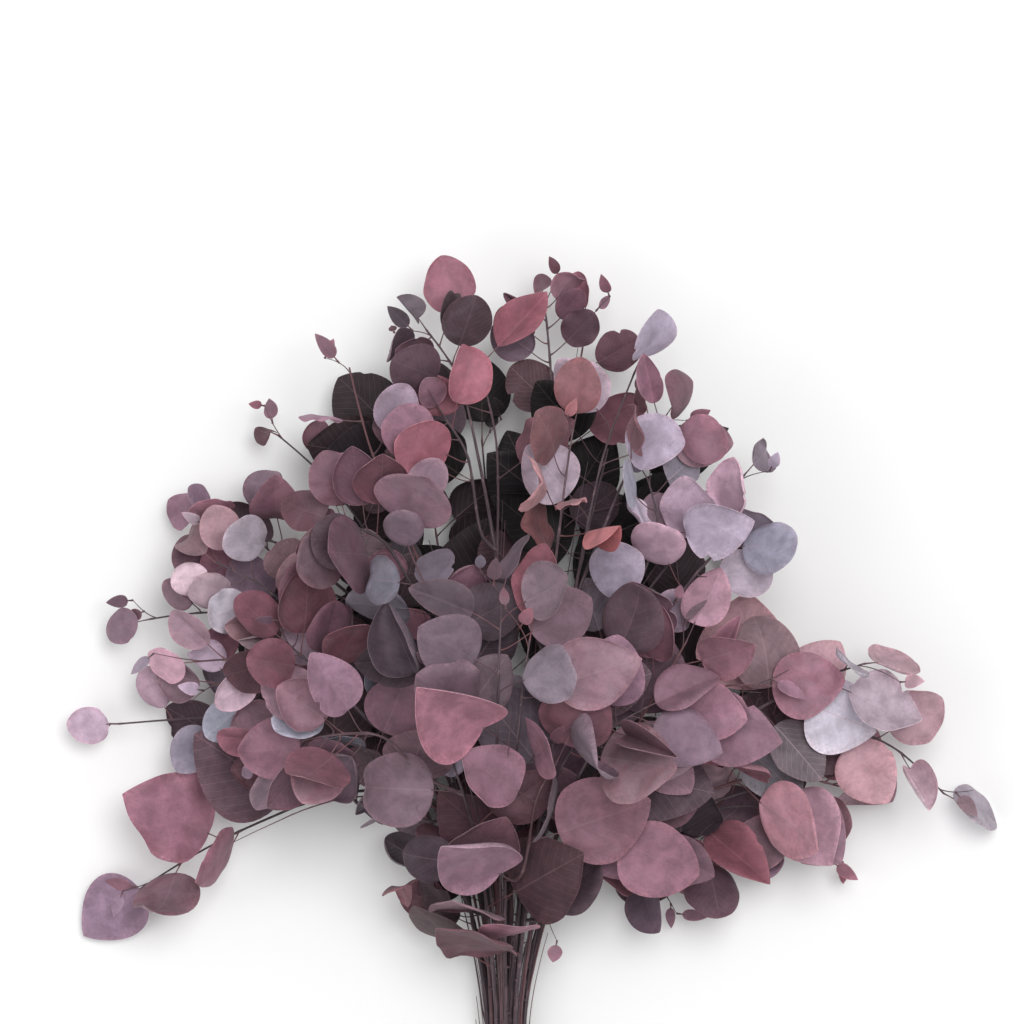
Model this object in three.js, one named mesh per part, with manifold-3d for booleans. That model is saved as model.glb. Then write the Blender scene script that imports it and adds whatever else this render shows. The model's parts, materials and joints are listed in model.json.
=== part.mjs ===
// A bunch of preserved poplar foliage: nineteen cut branches with round leaves on long leaf
// stalks, held by an elastic band and lying on a table. Millimetres, +Z up, +Y toward the head.
//
// Every branch grew as one piece, so its stem, side shoots and leaves are one closed solid.
// The branches are threaded through each other without touching: stems first, then shoots,
// then the leaves one by one, each in the first pose that is clear of all that grew before.

import * as THREE from 'three';
import Module from 'manifold-3d';

const wasm = await Module();
wasm.setup();

// ---- driving dimensions ----

const CUT_END_Y = -150;          // the stems are cut here, behind the band at y = 0
const CUT_END_SCATTER = 8;       // the cuts are not quite level
const CUT_END_SPLAY = 1.12;      // the stems open a little behind the band
const BUNDLE_HEIGHT = 17;        // height of the bundle's middle at the band
const STEM_PITCH = 6.0;          // from stem to stem where they are bundled
const BUNDLE_HALF_LENGTH = 14;   // the stems run side by side this far from the band

const STEM_RADIUS = 2.3;
const STEM_TIP_RADIUS = 1.0;
const SHOOT_RADIUS = 1.45;
const SHOOT_TIP_RADIUS = 0.95;
const TUBE_SIDES = 6;
const STALK_RING_MARGIN = 4.5;   // leaf stalks keep this far from a tube's rings
const SHOOT_RING_MARGIN = 9;     // and so do shoots, which leave at a flatter angle

const STALK_HALF_WIDTH = 0.5;
const STALK_DEPTH = 0.8;
const STALK_FOOT_LIFT = 0.32;    // centres the foot of the three-sided stalk in its shoot
const BLADE_THICKNESS = 0.9;
const BLADE_OUTLINE = [[0.20, 0.85], [0.62, 0.93], [1.0, 0]];   // along the length, of the half width
const BLADE_MIDDLE = 0.48;

const STALK_SHORTEST = 0.3;      // of the leaf's length
const STALK_LONGEST = 0.46;
const TIP_STALK_SHARE = 0.7;     // the stalk at a tip is shorter
const TIP_STALK_INSET = 0.8;     // and starts this far inside the tip
const SHOOT_BARE_SHARE = 0.2;    // of a shoot's length, before its first leaf
const TURNED_SHARE = 0.3;        // of the leaves, which show their undersides
const LEAF_TAPER = [1.08, 0.84]; // size of the first and the last leaf of a shoot
const LEAF_SIZE_SPREAD = 0.14;
const LEAF_ROUNDNESS = 0.92;     // width by length
const LEAF_ROUNDNESS_SPREAD = 0.1;
const LEAF_DISH = 0.03;          // height of the blade's middle, of its length
const LEAF_DISH_SPREAD = 0.035;

// How the leaves stand, in degrees. A spread is the most that a pose strays to either side.
const STALK_OPENING = 55;        // from the shoot to a leaf stalk
const STALK_OPENING_SPREAD = 22;
const TIP_OPENING_SPREAD = 16;
const STALK_RISE = 14;           // of the stalk above the shoot's flat side
const STALK_RISE_SPREAD = 40;
const BLADE_SWING_SPREAD = 18;   // of the blade from its stalk, within the blade's plane
const BLADE_PITCH_SPREAD = 62;   // of the blade's tip, up or down
const BLADE_ROLL_SPREAD = 96;    // of the blade around its midrib
const BLADE_OUTWARD_ROLL = 8;    // a blade faces a little away from its shoot
const BLADE_MOST_SWING = 30;
const BLADE_MOST_PITCH = 50;
const BLADE_MOST_ROLL = 76;
const FLAT_SHARE = 0.35;         // of these spreads is left for a leaf on the table,
const FREE_HEIGHT = 60;          // and all of them for a leaf this high above it

const BAND_WIDTH = 7;
const BAND_THICKNESS = 1.6;
const BAND_CLEARANCE = 0.5;      // from the outer stems to the band

const WOOD_GAP = 0.5;            // between two stems or shoots
const BLADE_GAP = 1.6;           // between two leaf blades
const STALK_GAP = 0.35;          // between a leaf stalk and anything else
const FLOOR_GAP = 0.4;           // the lowest leaf edges stay this far above the table
const LEAF_TRIES = 150;
const LOOSE_START = 0.6;         // share of the spreads that the first try uses
const LOOSE_TRIES = 70;          // the share grows by one over this many tries
const LEAF_SHRINK = 0.5;         // share of the size that the last try has lost
const LEAF_SLIDE = 0.02;         // of a tube's length, by which a leaf slides along it
const TUBE_TRIES = 600;
const WANDER_START = 2;
const WANDER_STEP = 0.12;        // a tube's route wanders this much more with every try
const SEED = 4711;

const LEAF_COLOURS = {
  rose: 0x8f6a76, mauve: 0x83697a, silver: 0xa391a5, pale: 0xaf9aa3, red: 0x8f5b66,
  wine: 0x5d3f4b, plum: 0x573f4c, slate: 0x6a5f6c, coral: 0x83565b, deep: 0x2e2127,
};
const BAND_COLOUR = 0xb59a73;

// ---- the outline of the head ----
// Seen from above, with the band at [0, 0], every leaf stays inside this line. It runs from the
// left of the stems around the left side, over the top and down the right side.

const HEAD_OUTLINE = [
  [-20, 60], [-57, 68], [-80, 108], [-78, 143], [-105, 158], [-146, 158],
  [-168, 116], [-200, 78], [-268, 52], [-288, 92], [-256, 146], [-236, 176], [-195, 186],
  [-238, 188], [-252, 198], [-258, 170], [-304, 168], [-292, 226], [-256, 224],
  [-230, 236], [-260, 256], [-262, 288], [-238, 304], [-212, 296], [-206, 312],
  [-226, 334], [-216, 366], [-172, 348], [-170, 392], [-142, 405], [-114, 404],
  [-112, 432], [-90, 446], [-68, 446], [-72, 476], [-44, 488], [-44, 508], [-22, 500],
  [14, 486], [42, 510], [60, 480], [92, 470], [120, 452], [120, 402], [152, 390],
  [176, 374], [184, 316], [162, 280], [198, 264], [240, 260], [290, 224], [292, 184],
  [322, 140], [312, 130], [260, 148], [232, 156], [214, 98], [182, 116], [146, 78],
  [100, 94], [112, 68], [84, 64], [62, 94], [46, 80], [22, 58],
];

// The head is open to its dark inside in two places, where only low leaves grow.
const HOLLOWS = [
  [[-34, 395], [6, 408], [12, 322], [-30, 305]],
  [[48, 404], [70, 396], [72, 340], [50, 330]],
];
const HOLLOW_HEIGHT = 62;

// ---- the branches ----
// slot: place in the bundle, as hexagon steps [across, up].
// route: the stem's way from the bundle to its tip.
// lead: the stem's own leaves, from this share of its length to the tip.
// shoots: side shoots, each from a share of the stem's length along its own route.
// stalks: how long the leaf stalks are, next to the usual length.

const BRANCHES = [
  {
    name: 'front_left', slot: [-2, 2], tone: 'plum',
    route: [[-13, 95, 62], [-20, 145, 95], [-35, 195, 130], [-50, 230, 140]],
    lead: { from: 0.5, leaves: 7, size: 54 },
    shoots: [
      {
        from: 0.43, route: [[-40, 125, 78], [-55, 110, 75]],
        leaves: 3, size: 56, stalks: 0.6, tone: 'rose',
      },
      { from: 0.74, route: [[-75, 200, 122], [-115, 200, 112]], leaves: 8, size: 46, tone: 'mauve' },
    ],
  },
  {
    name: 'front_centre', slot: [-1, 2], tone: 'rose',
    route: [[0, 110, 66], [5, 170, 110], [10, 230, 145], [15, 260, 150]],
    lead: { from: 0.5, leaves: 7, size: 60 },
    shoots: [
      { from: 0.62, route: [[-5, 235, 148], [0, 290, 145]], leaves: 7, size: 44, tone: 'slate' },
      {
        from: 0.44, route: [[20, 165, 122], [30, 185, 125]],
        leaves: 4, size: 58, stalks: 0.7, tone: 'rose',
      },
    ],
  },
  {
    name: 'front_right', slot: [0, 2], tone: 'plum',
    route: [[14, 95, 62], [25, 160, 95], [50, 210, 130], [65, 245, 140]],
    lead: { from: 0.5, leaves: 8, size: 58, stalks: 0.8 },
    shoots: [
      {
        from: 0.42, route: [[30, 115, 82], [25, 95, 80]],
        leaves: 3, size: 54, stalks: 0.6, tone: 'rose',
      },
      {
        from: 0.65, route: [[60, 200, 132], [85, 220, 135]],
        leaves: 7, size: 54, stalks: 0.7, tone: 'mauve',
      },
    ],
  },
  {
    name: 'upper_silver', slot: [-2, 1], tone: 'silver',
    route: [[-20, 110, 48], [-50, 170, 75], [-100, 220, 95], [-150, 245, 90], [-195, 245, 70]],
    lead: { from: 0.6, leaves: 9, size: 38 },
    shoots: [
      { from: 0.65, route: [[-110, 235, 108], [-135, 260, 110]], leaves: 9, size: 42, tone: 'wine' },
      { from: 0.45, route: [[-90, 190, 92], [-135, 195, 85]], leaves: 8, size: 48, tone: 'mauve' },
    ],
  },
  {
    name: 'upper_left', slot: [-1, 1], tone: 'mauve',
    route: [[-8, 120, 52], [-25, 220, 90], [-55, 310, 110], [-85, 380, 105], [-100, 430, 90]],
    lead: { from: 0.6, leaves: 10, size: 34 },
    shoots: [
      { from: 0.68, route: [[-75, 320, 122], [-100, 335, 120]], leaves: 9, size: 44, tone: 'wine' },
      { from: 0.56, route: [[-45, 285, 135], [-55, 310, 135]], leaves: 6, size: 40, tone: 'slate' },
    ],
  },
  {
    name: 'upper_right', slot: [0, 1], tone: 'silver',
    route: [[12, 120, 52], [30, 220, 90], [46, 310, 110], [62, 375, 112], [80, 425, 104]],
    lead: { from: 0.6, leaves: 8, size: 42 },
    shoots: [
      { from: 0.74, route: [[80, 375, 112], [100, 400, 108]], leaves: 8, size: 40, tone: 'rose' },
      { from: 0.60, route: [[35, 345, 130], [40, 390, 125]], leaves: 7, size: 42, tone: 'coral' },
    ],
  },
  {
    name: 'upper_rose', slot: [1, 1], tone: 'mauve',
    route: [[22, 100, 48], [45, 160, 75], [90, 205, 100], [130, 230, 105], [160, 230, 95]],
    lead: { from: 0.55, leaves: 8, size: 56, stalks: 0.7 },
    shoots: [
      { from: 0.57, route: [[90, 220, 120], [110, 260, 120]], leaves: 8, size: 44, tone: 'mauve' },
      {
        from: 0.46, route: [[65, 140, 90], [85, 135, 85]],
        leaves: 6, size: 56, stalks: 0.6, tone: 'rose',
      },
    ],
  },
  {
    name: 'middle_top', slot: [0, 0], tone: 'red',
    route: [[-5, 125, 40], [-5, 220, 70], [-5, 315, 90], [-5, 385, 90], [-15, 425, 82], [-28, 455, 74]],
    lead: { from: 0.8, leaves: 5, size: 48 },
    shoots: [
      { from: 0.76, route: [[-30, 425, 90], [-50, 455, 80]], leaves: 6, size: 30, tone: 'rose' },
      { from: 0.68, route: [[-25, 375, 100], [-40, 400, 95]], leaves: 8, size: 42, tone: 'plum' },
    ],
  },
  {
    name: 'middle_right', slot: [1, 0], tone: 'silver',
    route: [[16, 110, 36], [35, 185, 60], [70, 260, 85], [110, 315, 95], [132, 345, 95], [148, 362, 90]],
    lead: { from: 0.6, leaves: 7, size: 36 },
    shoots: [
      { from: 0.66, route: [[120, 305, 110], [150, 330, 105]], leaves: 6, size: 42, tone: 'silver' },
      { from: 0.69, route: [[95, 330, 112], [90, 360, 110]], leaves: 5, size: 42, tone: 'silver' },
    ],
  },
  {
    name: 'wide_right', slot: [2, 0], tone: 'pale',
    route: [[30, 95, 32], [60, 145, 48], [120, 190, 60], [195, 205, 62], [245, 192, 50], [282, 160, 30]],
    lead: { from: 0.55, leaves: 9, size: 48, stalks: 0.6 },
    shoots: [
      {
        from: 0.55, route: [[180, 230, 78], [225, 245, 80]],
        leaves: 8, size: 52, stalks: 0.7, tone: 'pale',
      },
      {
        from: 0.52, route: [[165, 175, 52], [210, 165, 50]],
        leaves: 8, size: 52, stalks: 0.7, tone: 'rose',
      },
    ],
  },
  {
    name: 'middle_left', slot: [-1, 0], tone: 'rose',
    route: [
      [-20, 110, 34], [-40, 185, 50], [-80, 235, 62], [-130, 265, 62], [-185, 275, 52], [-226, 272, 40],
    ],
    lead: { from: 0.5, leaves: 9, size: 30 },
    shoots: [
      { from: 0.62, route: [[-150, 290, 75], [-185, 310, 70]], leaves: 10, size: 32, tone: 'mauve' },
      { from: 0.50, route: [[-130, 220, 62], [-185, 230, 58]], leaves: 7, size: 38, tone: 'silver' },
    ],
  },
  {
    name: 'wide_left', slot: [-2, 0], tone: 'mauve',
    route: [
      [-25, 95, 30], [-40, 150, 38], [-100, 160, 42], [-150, 145, 38], [-200, 120, 26], [-232, 98, 16],
    ],
    lead: { from: 0.6, leaves: 8, size: 70, stalks: 0.3 },
    shoots: [
      {
        from: 0.47, route: [[-125, 185, 55], [-150, 200, 60]],
        leaves: 7, size: 52, stalks: 0.7, tone: 'mauve',
      },
      { from: 0.33, route: [[-60, 155, 30], [-75, 160, 26]], leaves: 3, size: 40, tone: 'red' },
    ],
  },
  {
    name: 'low_left_far', slot: [-1, -1], tone: 'silver',
    route: [[-27, 100, 22], [-55, 165, 26], [-115, 210, 30], [-190, 208, 30], [-248, 205, 26]],
    lead: { from: 0.55, leaves: 9, size: 38, stalks: 0.7 },
    shoots: [
      { from: 0.54, route: [[-140, 195, 26], [-170, 180, 24]], leaves: 7, size: 46, tone: 'mauve' },
      { from: 0.37, route: [[-80, 195, 34], [-105, 230, 36]], leaves: 8, size: 42, tone: 'red' },
    ],
  },
  {
    name: 'low_left_top', slot: [0, -1], tone: 'mauve',
    route: [[-13, 120, 24], [-35, 220, 32], [-75, 305, 40], [-115, 360, 42], [-145, 390, 36]],
    lead: { from: 0.6, leaves: 9, size: 28 },
    shoots: [
      { from: 0.68, route: [[-135, 315, 42], [-195, 335, 36]], leaves: 9, size: 36, tone: 'mauve' },
      { from: 0.61, route: [[-85, 275, 45], [-110, 285, 45]], leaves: 8, size: 42, tone: 'rose' },
    ],
  },
  {
    name: 'low_right_top', slot: [1, -1], tone: 'rose',
    route: [[5, 120, 24], [20, 220, 34], [30, 315, 44], [42, 400, 50], [50, 462, 46]],
    lead: { from: 0.72, leaves: 7, size: 36 },
    shoots: [
      { from: 0.75, route: [[30, 425, 56], [25, 475, 52]], leaves: 7, size: 26, tone: 'wine' },
      { from: 0.58, route: [[55, 335, 50], [65, 380, 50]], leaves: 8, size: 56, tone: 'deep' },
    ],
  },
  {
    name: 'low_right_side', slot: [2, -1], tone: 'red',
    route: [[30, 95, 22], [60, 125, 28], [115, 145, 34], [175, 150, 32], [205, 115, 20]],
    lead: { from: 0.6, leaves: 8, size: 48, stalks: 0.6 },
    shoots: [
      {
        from: 0.54, route: [[115, 125, 30], [145, 115, 28]],
        leaves: 8, size: 52, stalks: 0.6, tone: 'mauve',
      },
      { from: 0.63, route: [[160, 165, 44], [190, 170, 45]], leaves: 7, size: 48, tone: 'mauve' },
    ],
  },
  {
    name: 'floor_left', slot: [0, -2], tone: 'plum',
    route: [[-20, 115, 14], [-50, 195, 16], [-100, 260, 18], [-150, 310, 18]],
    lead: { from: 0.5, leaves: 8, size: 44 },
    shoots: [
      { from: 0.66, route: [[-110, 230, 16], [-140, 230, 16]], leaves: 8, size: 44, tone: 'plum' },
      { from: 0.53, route: [[-40, 285, 22], [-50, 350, 24]], leaves: 8, size: 52, tone: 'deep' },
    ],
  },
  {
    name: 'floor_centre', slot: [1, -2], tone: 'deep',
    route: [[0, 120, 14], [-5, 220, 18], [-10, 315, 22], [-15, 385, 26]],
    lead: { from: 0.5, leaves: 8, size: 58 },
    shoots: [
      { from: 0.66, route: [[15, 295, 24], [35, 335, 24]], leaves: 8, size: 56, tone: 'deep' },
      { from: 0.80, route: [[-40, 355, 26], [-65, 385, 26]], leaves: 8, size: 50, tone: 'plum' },
    ],
  },
  {
    name: 'floor_right', slot: [2, -2], tone: 'plum',
    route: [[16, 110, 14], [45, 170, 16], [90, 235, 18], [135, 295, 18]],
    lead: { from: 0.5, leaves: 8, size: 46 },
    shoots: [
      {
        from: 0.44, route: [[70, 120, 12], [105, 90, 12]],
        leaves: 6, size: 44, stalks: 0.6, tone: 'mauve',
      },
      { from: 0.61, route: [[105, 210, 18], [140, 220, 18]], leaves: 8, size: 46, tone: 'plum' },
    ],
  },
];

// ---- small helpers ----

const UP = new THREE.Vector3(0, 0, 1);
const PARALLEL = 1e-4;           // edges whose cross product is shorter run the same way
const radians = THREE.MathUtils.degToRad;
const clamp = THREE.MathUtils.clamp;
const lerp = THREE.MathUtils.lerp;

let randomState = SEED;

// One number from 0 to 1, in the same order on every run.
function random() {
  randomState = (randomState + 0x6d2b79f5) | 0;
  let t = Math.imul(randomState ^ (randomState >>> 15), 1 | randomState);
  t = (t + Math.imul(t ^ (t >>> 7), 61 | t)) ^ t;
  return ((t ^ (t >>> 14)) >>> 0) / 4294967296;
}

function spread(amount) {
  return (random() * 2 - 1) * amount;
}

// From -1 to 1, and more often near 0.
function bell() {
  return ((random() + random() + random()) * 2) / 3 - 1;
}

function vector([x, y, z]) {
  return new THREE.Vector3(x, y, z);
}

function mix(...terms) {
  const sum = new THREE.Vector3();
  for (const [direction, amount] of terms) sum.addScaledVector(direction, amount);
  return sum;
}

// ---- solids ----

function solidOf(points, faces) {
  const vertProperties = new Float32Array(points.flatMap((p) => p.toArray()));
  const triVerts = new Uint32Array(faces.flat());
  return new wasm.Manifold(new wasm.Mesh({ numProp: 3, vertProperties, triVerts }));
}

function geometryOf(solid) {
  const mesh = solid.getMesh();
  const geometry = new THREE.BufferGeometry();
  geometry.setAttribute('position', new THREE.BufferAttribute(mesh.vertProperties, mesh.numProp));
  geometry.setIndex(new THREE.BufferAttribute(mesh.triVerts, 1));
  return geometry;
}

// ---- keeping pieces apart ----
// A convex piece is its corners, the directions its faces look along and those of its edges.
// Two pieces are clear of each other where one of these directions shows a gap between them.

function convex(points, faceDirections, edgeDirections) {
  const centre = mix(...points.map((p) => [p, 1 / points.length]));
  const reach = Math.max(...points.map((p) => p.distanceTo(centre)));
  return { points, faceDirections, edgeDirections, centre, reach };
}

function hasGapAlong(direction, a, b, gap) {
  let lowA = Infinity;
  let highA = -Infinity;
  let lowB = Infinity;
  let highB = -Infinity;
  for (const point of a.points) {
    const at = point.dot(direction);
    lowA = Math.min(lowA, at);
    highA = Math.max(highA, at);
  }
  for (const point of b.points) {
    const at = point.dot(direction);
    lowB = Math.min(lowB, at);
    highB = Math.max(highB, at);
  }
  return lowA > highB + gap || lowB > highA + gap;
}

function areClear(a, b, gap) {
  if (a.centre.distanceTo(b.centre) > a.reach + b.reach + gap) return true;
  for (const direction of a.faceDirections) {
    if (hasGapAlong(direction, a, b, gap)) return true;
  }
  for (const direction of b.faceDirections) {
    if (hasGapAlong(direction, a, b, gap)) return true;
  }
  for (const edgeA of a.edgeDirections) {
    for (const edgeB of b.edgeDirections) {
      const direction = new THREE.Vector3().crossVectors(edgeA, edgeB);
      if (direction.lengthSq() < PARALLEL) continue;
      if (hasGapAlong(direction.normalize(), a, b, gap)) return true;
    }
  }
  return false;
}

// ---- stems and shoots ----
// A tube has a six-sided ring at each point of its route and halfway to the next one, and it
// gets thinner from each ring to the next. A stem's straight stretches take no halfway ring.

function makeTube(route, straightSpans, startRadius, endRadius) {
  const curve = new THREE.CatmullRomCurve3(route, false, 'centripetal');
  const steps = [];
  for (let i = 0; i < route.length; i += 1) {
    steps.push(i);
    if (i >= straightSpans && i < route.length - 1) steps.push(i + 0.5);
  }
  const centres = steps.map((step) => curve.getPoint(step / (route.length - 1)));
  const marks = centres.reduce((sums, centre, i) => (
    i === 0 ? [0] : [...sums, sums[i - 1] + centre.distanceTo(centres[i - 1])]), []);
  const length = marks[marks.length - 1];
  const side = UP.clone();
  const rings = steps.map((step, i) => {
    const tangent = curve.getTangent(step / (route.length - 1));
    side.addScaledVector(tangent, -side.dot(tangent)).normalize();
    const other = new THREE.Vector3().crossVectors(tangent, side);
    const radius = lerp(startRadius, endRadius, marks[i] / length);
    return Array.from({ length: TUBE_SIDES }, (_, k) => {
      const angle = (k / TUBE_SIDES) * 2 * Math.PI;
      return mix([centres[i], 1], [side, Math.cos(angle) * radius], [other, Math.sin(angle) * radius]);
    });
  });
  return { length, marks, centres, rings, spans: steps.length - 1 };
}

// The middle of a tube at a share of its length, and the way the tube runs there.
function placeOn(tube, share) {
  const mark = share * tube.length;
  const span = clamp(tube.marks.findLastIndex((at) => at <= mark), 0, tube.spans - 1);
  const [from, to] = [tube.centres[span], tube.centres[span + 1]];
  const part = (mark - tube.marks[span]) / (tube.marks[span + 1] - tube.marks[span]);
  const middle = new THREE.Vector3().lerpVectors(from, to, part);
  return { middle, tangent: mix([to, 1], [from, -1]).normalize() };
}

function tubeSolid(tube) {
  const faces = [];
  for (let i = 0; i < tube.spans; i += 1) {
    for (let k = 0; k < TUBE_SIDES; k += 1) {
      const a = i * TUBE_SIDES + k;
      const b = i * TUBE_SIDES + ((k + 1) % TUBE_SIDES);
      faces.push([a, b, b + TUBE_SIDES], [a, b + TUBE_SIDES, a + TUBE_SIDES]);
    }
  }
  const last = tube.spans * TUBE_SIDES;
  for (let k = 1; k < TUBE_SIDES - 1; k += 1) {
    faces.push([0, k + 1, k], [last, last + k, last + k + 1]);
  }
  return solidOf(tube.rings.flat(), faces);
}

function tubePieces(tube) {
  const pieces = [];
  for (let i = 0; i < tube.spans; i += 1) {
    const [from, to] = [tube.rings[i], tube.rings[i + 1]];
    const along = mix([to[0], 1], [from[0], -1]).normalize();
    const across = from.slice(0, 3).map((corner, k) => mix([corner, 1], [from[k + 3], -1]));
    const outward = across.map((way) => mix([way, 1], [along, -way.dot(along)]).normalize());
    pieces.push(convex([...from, ...to], [along, ...outward], [along]));
  }
  return pieces;
}

// ---- leaves ----
// A leaf is a thin blade, high in the middle of both faces and sharp at the rim, and a
// three-sided stalk that runs from the blade's base to the middle of its shoot.

function makeLeaf({ root, base, along, face, length, halfWidth, dish }) {
  const across = new THREE.Vector3().crossVectors(face, along);
  const at = (u, v, w) => mix([base, 1], [along, u], [across, v], [face, w]);
  const right = BLADE_OUTLINE.map(([u, v]) => at(u * length, v * halfWidth, 0));
  const left = BLADE_OUTLINE.slice(0, -1).reverse().map(([u, v]) => at(u * length, -v * halfWidth, 0));
  const rim = [at(0, STALK_HALF_WIDTH, 0), ...right, ...left, at(0, -STALK_HALF_WIDTH, 0)];
  const middle = BLADE_MIDDLE * length;
  const top = at(middle, 0, dish + BLADE_THICKNESS / 2);
  const bottom = at(middle, 0, dish - BLADE_THICKNESS / 2);
  const keel = at(0, 0, -STALK_DEPTH);
  const foot = [rim[0], rim[rim.length - 1], keel].map((corner) => mix(
    [corner, 1], [base, -1], [root, 1], [face, STALK_FOOT_LIFT]));
  return { rim, top, bottom, keel, foot, face, along, across };
}

function leafSolid({ rim, top, bottom, keel, foot }) {
  const points = [...rim, top, bottom, keel, ...foot];
  const last = rim.length - 1;
  const [TOP, BOTTOM, KEEL] = [last + 1, last + 2, last + 3];
  const [FOOT_RIGHT, FOOT_LEFT, FOOT_KEEL] = [last + 4, last + 5, last + 6];
  const faces = [];
  for (let i = 0; i < last; i += 1) {
    faces.push([i + 1, i, TOP], [i, i + 1, BOTTOM]);
  }
  faces.push([0, last, TOP], [KEEL, 0, BOTTOM], [last, KEEL, BOTTOM]);
  faces.push([last, 0, FOOT_LEFT], [FOOT_LEFT, 0, FOOT_RIGHT]);
  faces.push([KEEL, last, FOOT_KEEL], [FOOT_KEEL, last, FOOT_LEFT]);
  faces.push([0, KEEL, FOOT_RIGHT], [FOOT_RIGHT, KEEL, FOOT_KEEL]);
  faces.push([FOOT_LEFT, FOOT_RIGHT, FOOT_KEEL]);
  return solidOf(points, faces);
}

function leafPieces({ rim, top, bottom, keel, foot, face, across }) {
  const edges = rim.slice(1).map((corner, i) => mix([corner, 1], [rim[i], -1]).normalize());
  const outward = edges.map((edge) => new THREE.Vector3().crossVectors(edge, face));
  const blade = convex([...rim, top, bottom], [face, ...outward], edges);
  const stalkAlong = mix([rim[0], 1], [foot[0], -1]).normalize();
  const sides = [face, across].map(
    (side) => mix([side, 1], [stalkAlong, -side.dot(stalkAlong)]).normalize());
  const corners = [rim[0], rim[rim.length - 1], keel, ...foot];
  const stalk = convex(corners, [stalkAlong, ...sides], [stalkAlong]);
  return { blade, stalk };
}

// ---- growing ----

const wood = [];      // every tube's pieces so far, with the branch and the tube they belong to
const blades = [];    // every leaf blade so far
const stalks = [];    // every leaf stalk so far, with its tube

function slotPlace([across, up]) {
  return [STEM_PITCH * (across + up / 2), BUNDLE_HEIGHT + STEM_PITCH * (Math.sqrt(3) / 2) * up];
}

function wandering(place, amount) {
  return vector(place).add(new THREE.Vector3(spread(amount), spread(amount), spread(amount)));
}

function stemRoute({ slot, route }, wander) {
  const [x, z] = slotPlace(slot);
  const cutZ = BUNDLE_HEIGHT + (z - BUNDLE_HEIGHT) * CUT_END_SPLAY;
  return [
    new THREE.Vector3(x * CUT_END_SPLAY, CUT_END_Y + spread(CUT_END_SCATTER), cutZ),
    new THREE.Vector3(x, -BUNDLE_HALF_LENGTH, z),
    new THREE.Vector3(x, BUNDLE_HALF_LENGTH, z),
    ...route.map((place, i) => wandering(place, wander * (i + 1) / route.length)),
  ];
}

function shootRoute(stem, share, route, wander) {
  return [placeOn(stem, share).middle, ...route.map((place) => wandering(place, wander))];
}

function isAboveTable(piece) {
  return piece.points.every((point) => point.z >= FLOOR_GAP);
}

// A shoot's first piece starts inside its own stem, so it may meet its own branch there.
function woodIsClear(pieces, branch, isShoot) {
  return pieces.every((piece, i) => isAboveTable(piece) && wood.every((other) => (
    (isShoot && i === 0 && other.branch === branch) || areClear(piece, other.piece, WOOD_GAP)
  )));
}

// Grows one tube, letting its route wander more with every try until it is clear.
function growTube(branch, makeRoute, isShoot) {
  const straightSpans = isShoot ? 0 : 2;
  const startRadius = isShoot ? SHOOT_RADIUS : STEM_RADIUS;
  const endRadius = isShoot ? SHOOT_TIP_RADIUS : STEM_TIP_RADIUS;
  for (let attempt = 0; attempt < TUBE_TRIES; attempt += 1) {
    const route = makeRoute(WANDER_START + attempt * WANDER_STEP);
    const tube = makeTube(route, straightSpans, startRadius, endRadius);
    const pieces = tubePieces(tube);
    if (!woodIsClear(pieces, branch, isShoot)) continue;
    for (const piece of pieces) wood.push({ piece, branch, tube });
    return tube;
  }
  throw new Error(`${branch.name}: no clear way for a ${isShoot ? 'shoot' : 'stem'}`);
}

// Moves a place on a tube out of the way of the nearest ring.
function clearOfRings(tube, share, margin) {
  const place = share * tube.length;
  const offs = tube.marks.map((mark) => place - mark);
  const nearest = offs.reduce((best, off) => (Math.abs(off) < Math.abs(best) ? off : best));
  if (Math.abs(nearest) >= margin) return share;
  const moved = place - nearest + (nearest < 0 ? -margin : margin);
  return moved / tube.length;
}

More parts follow.
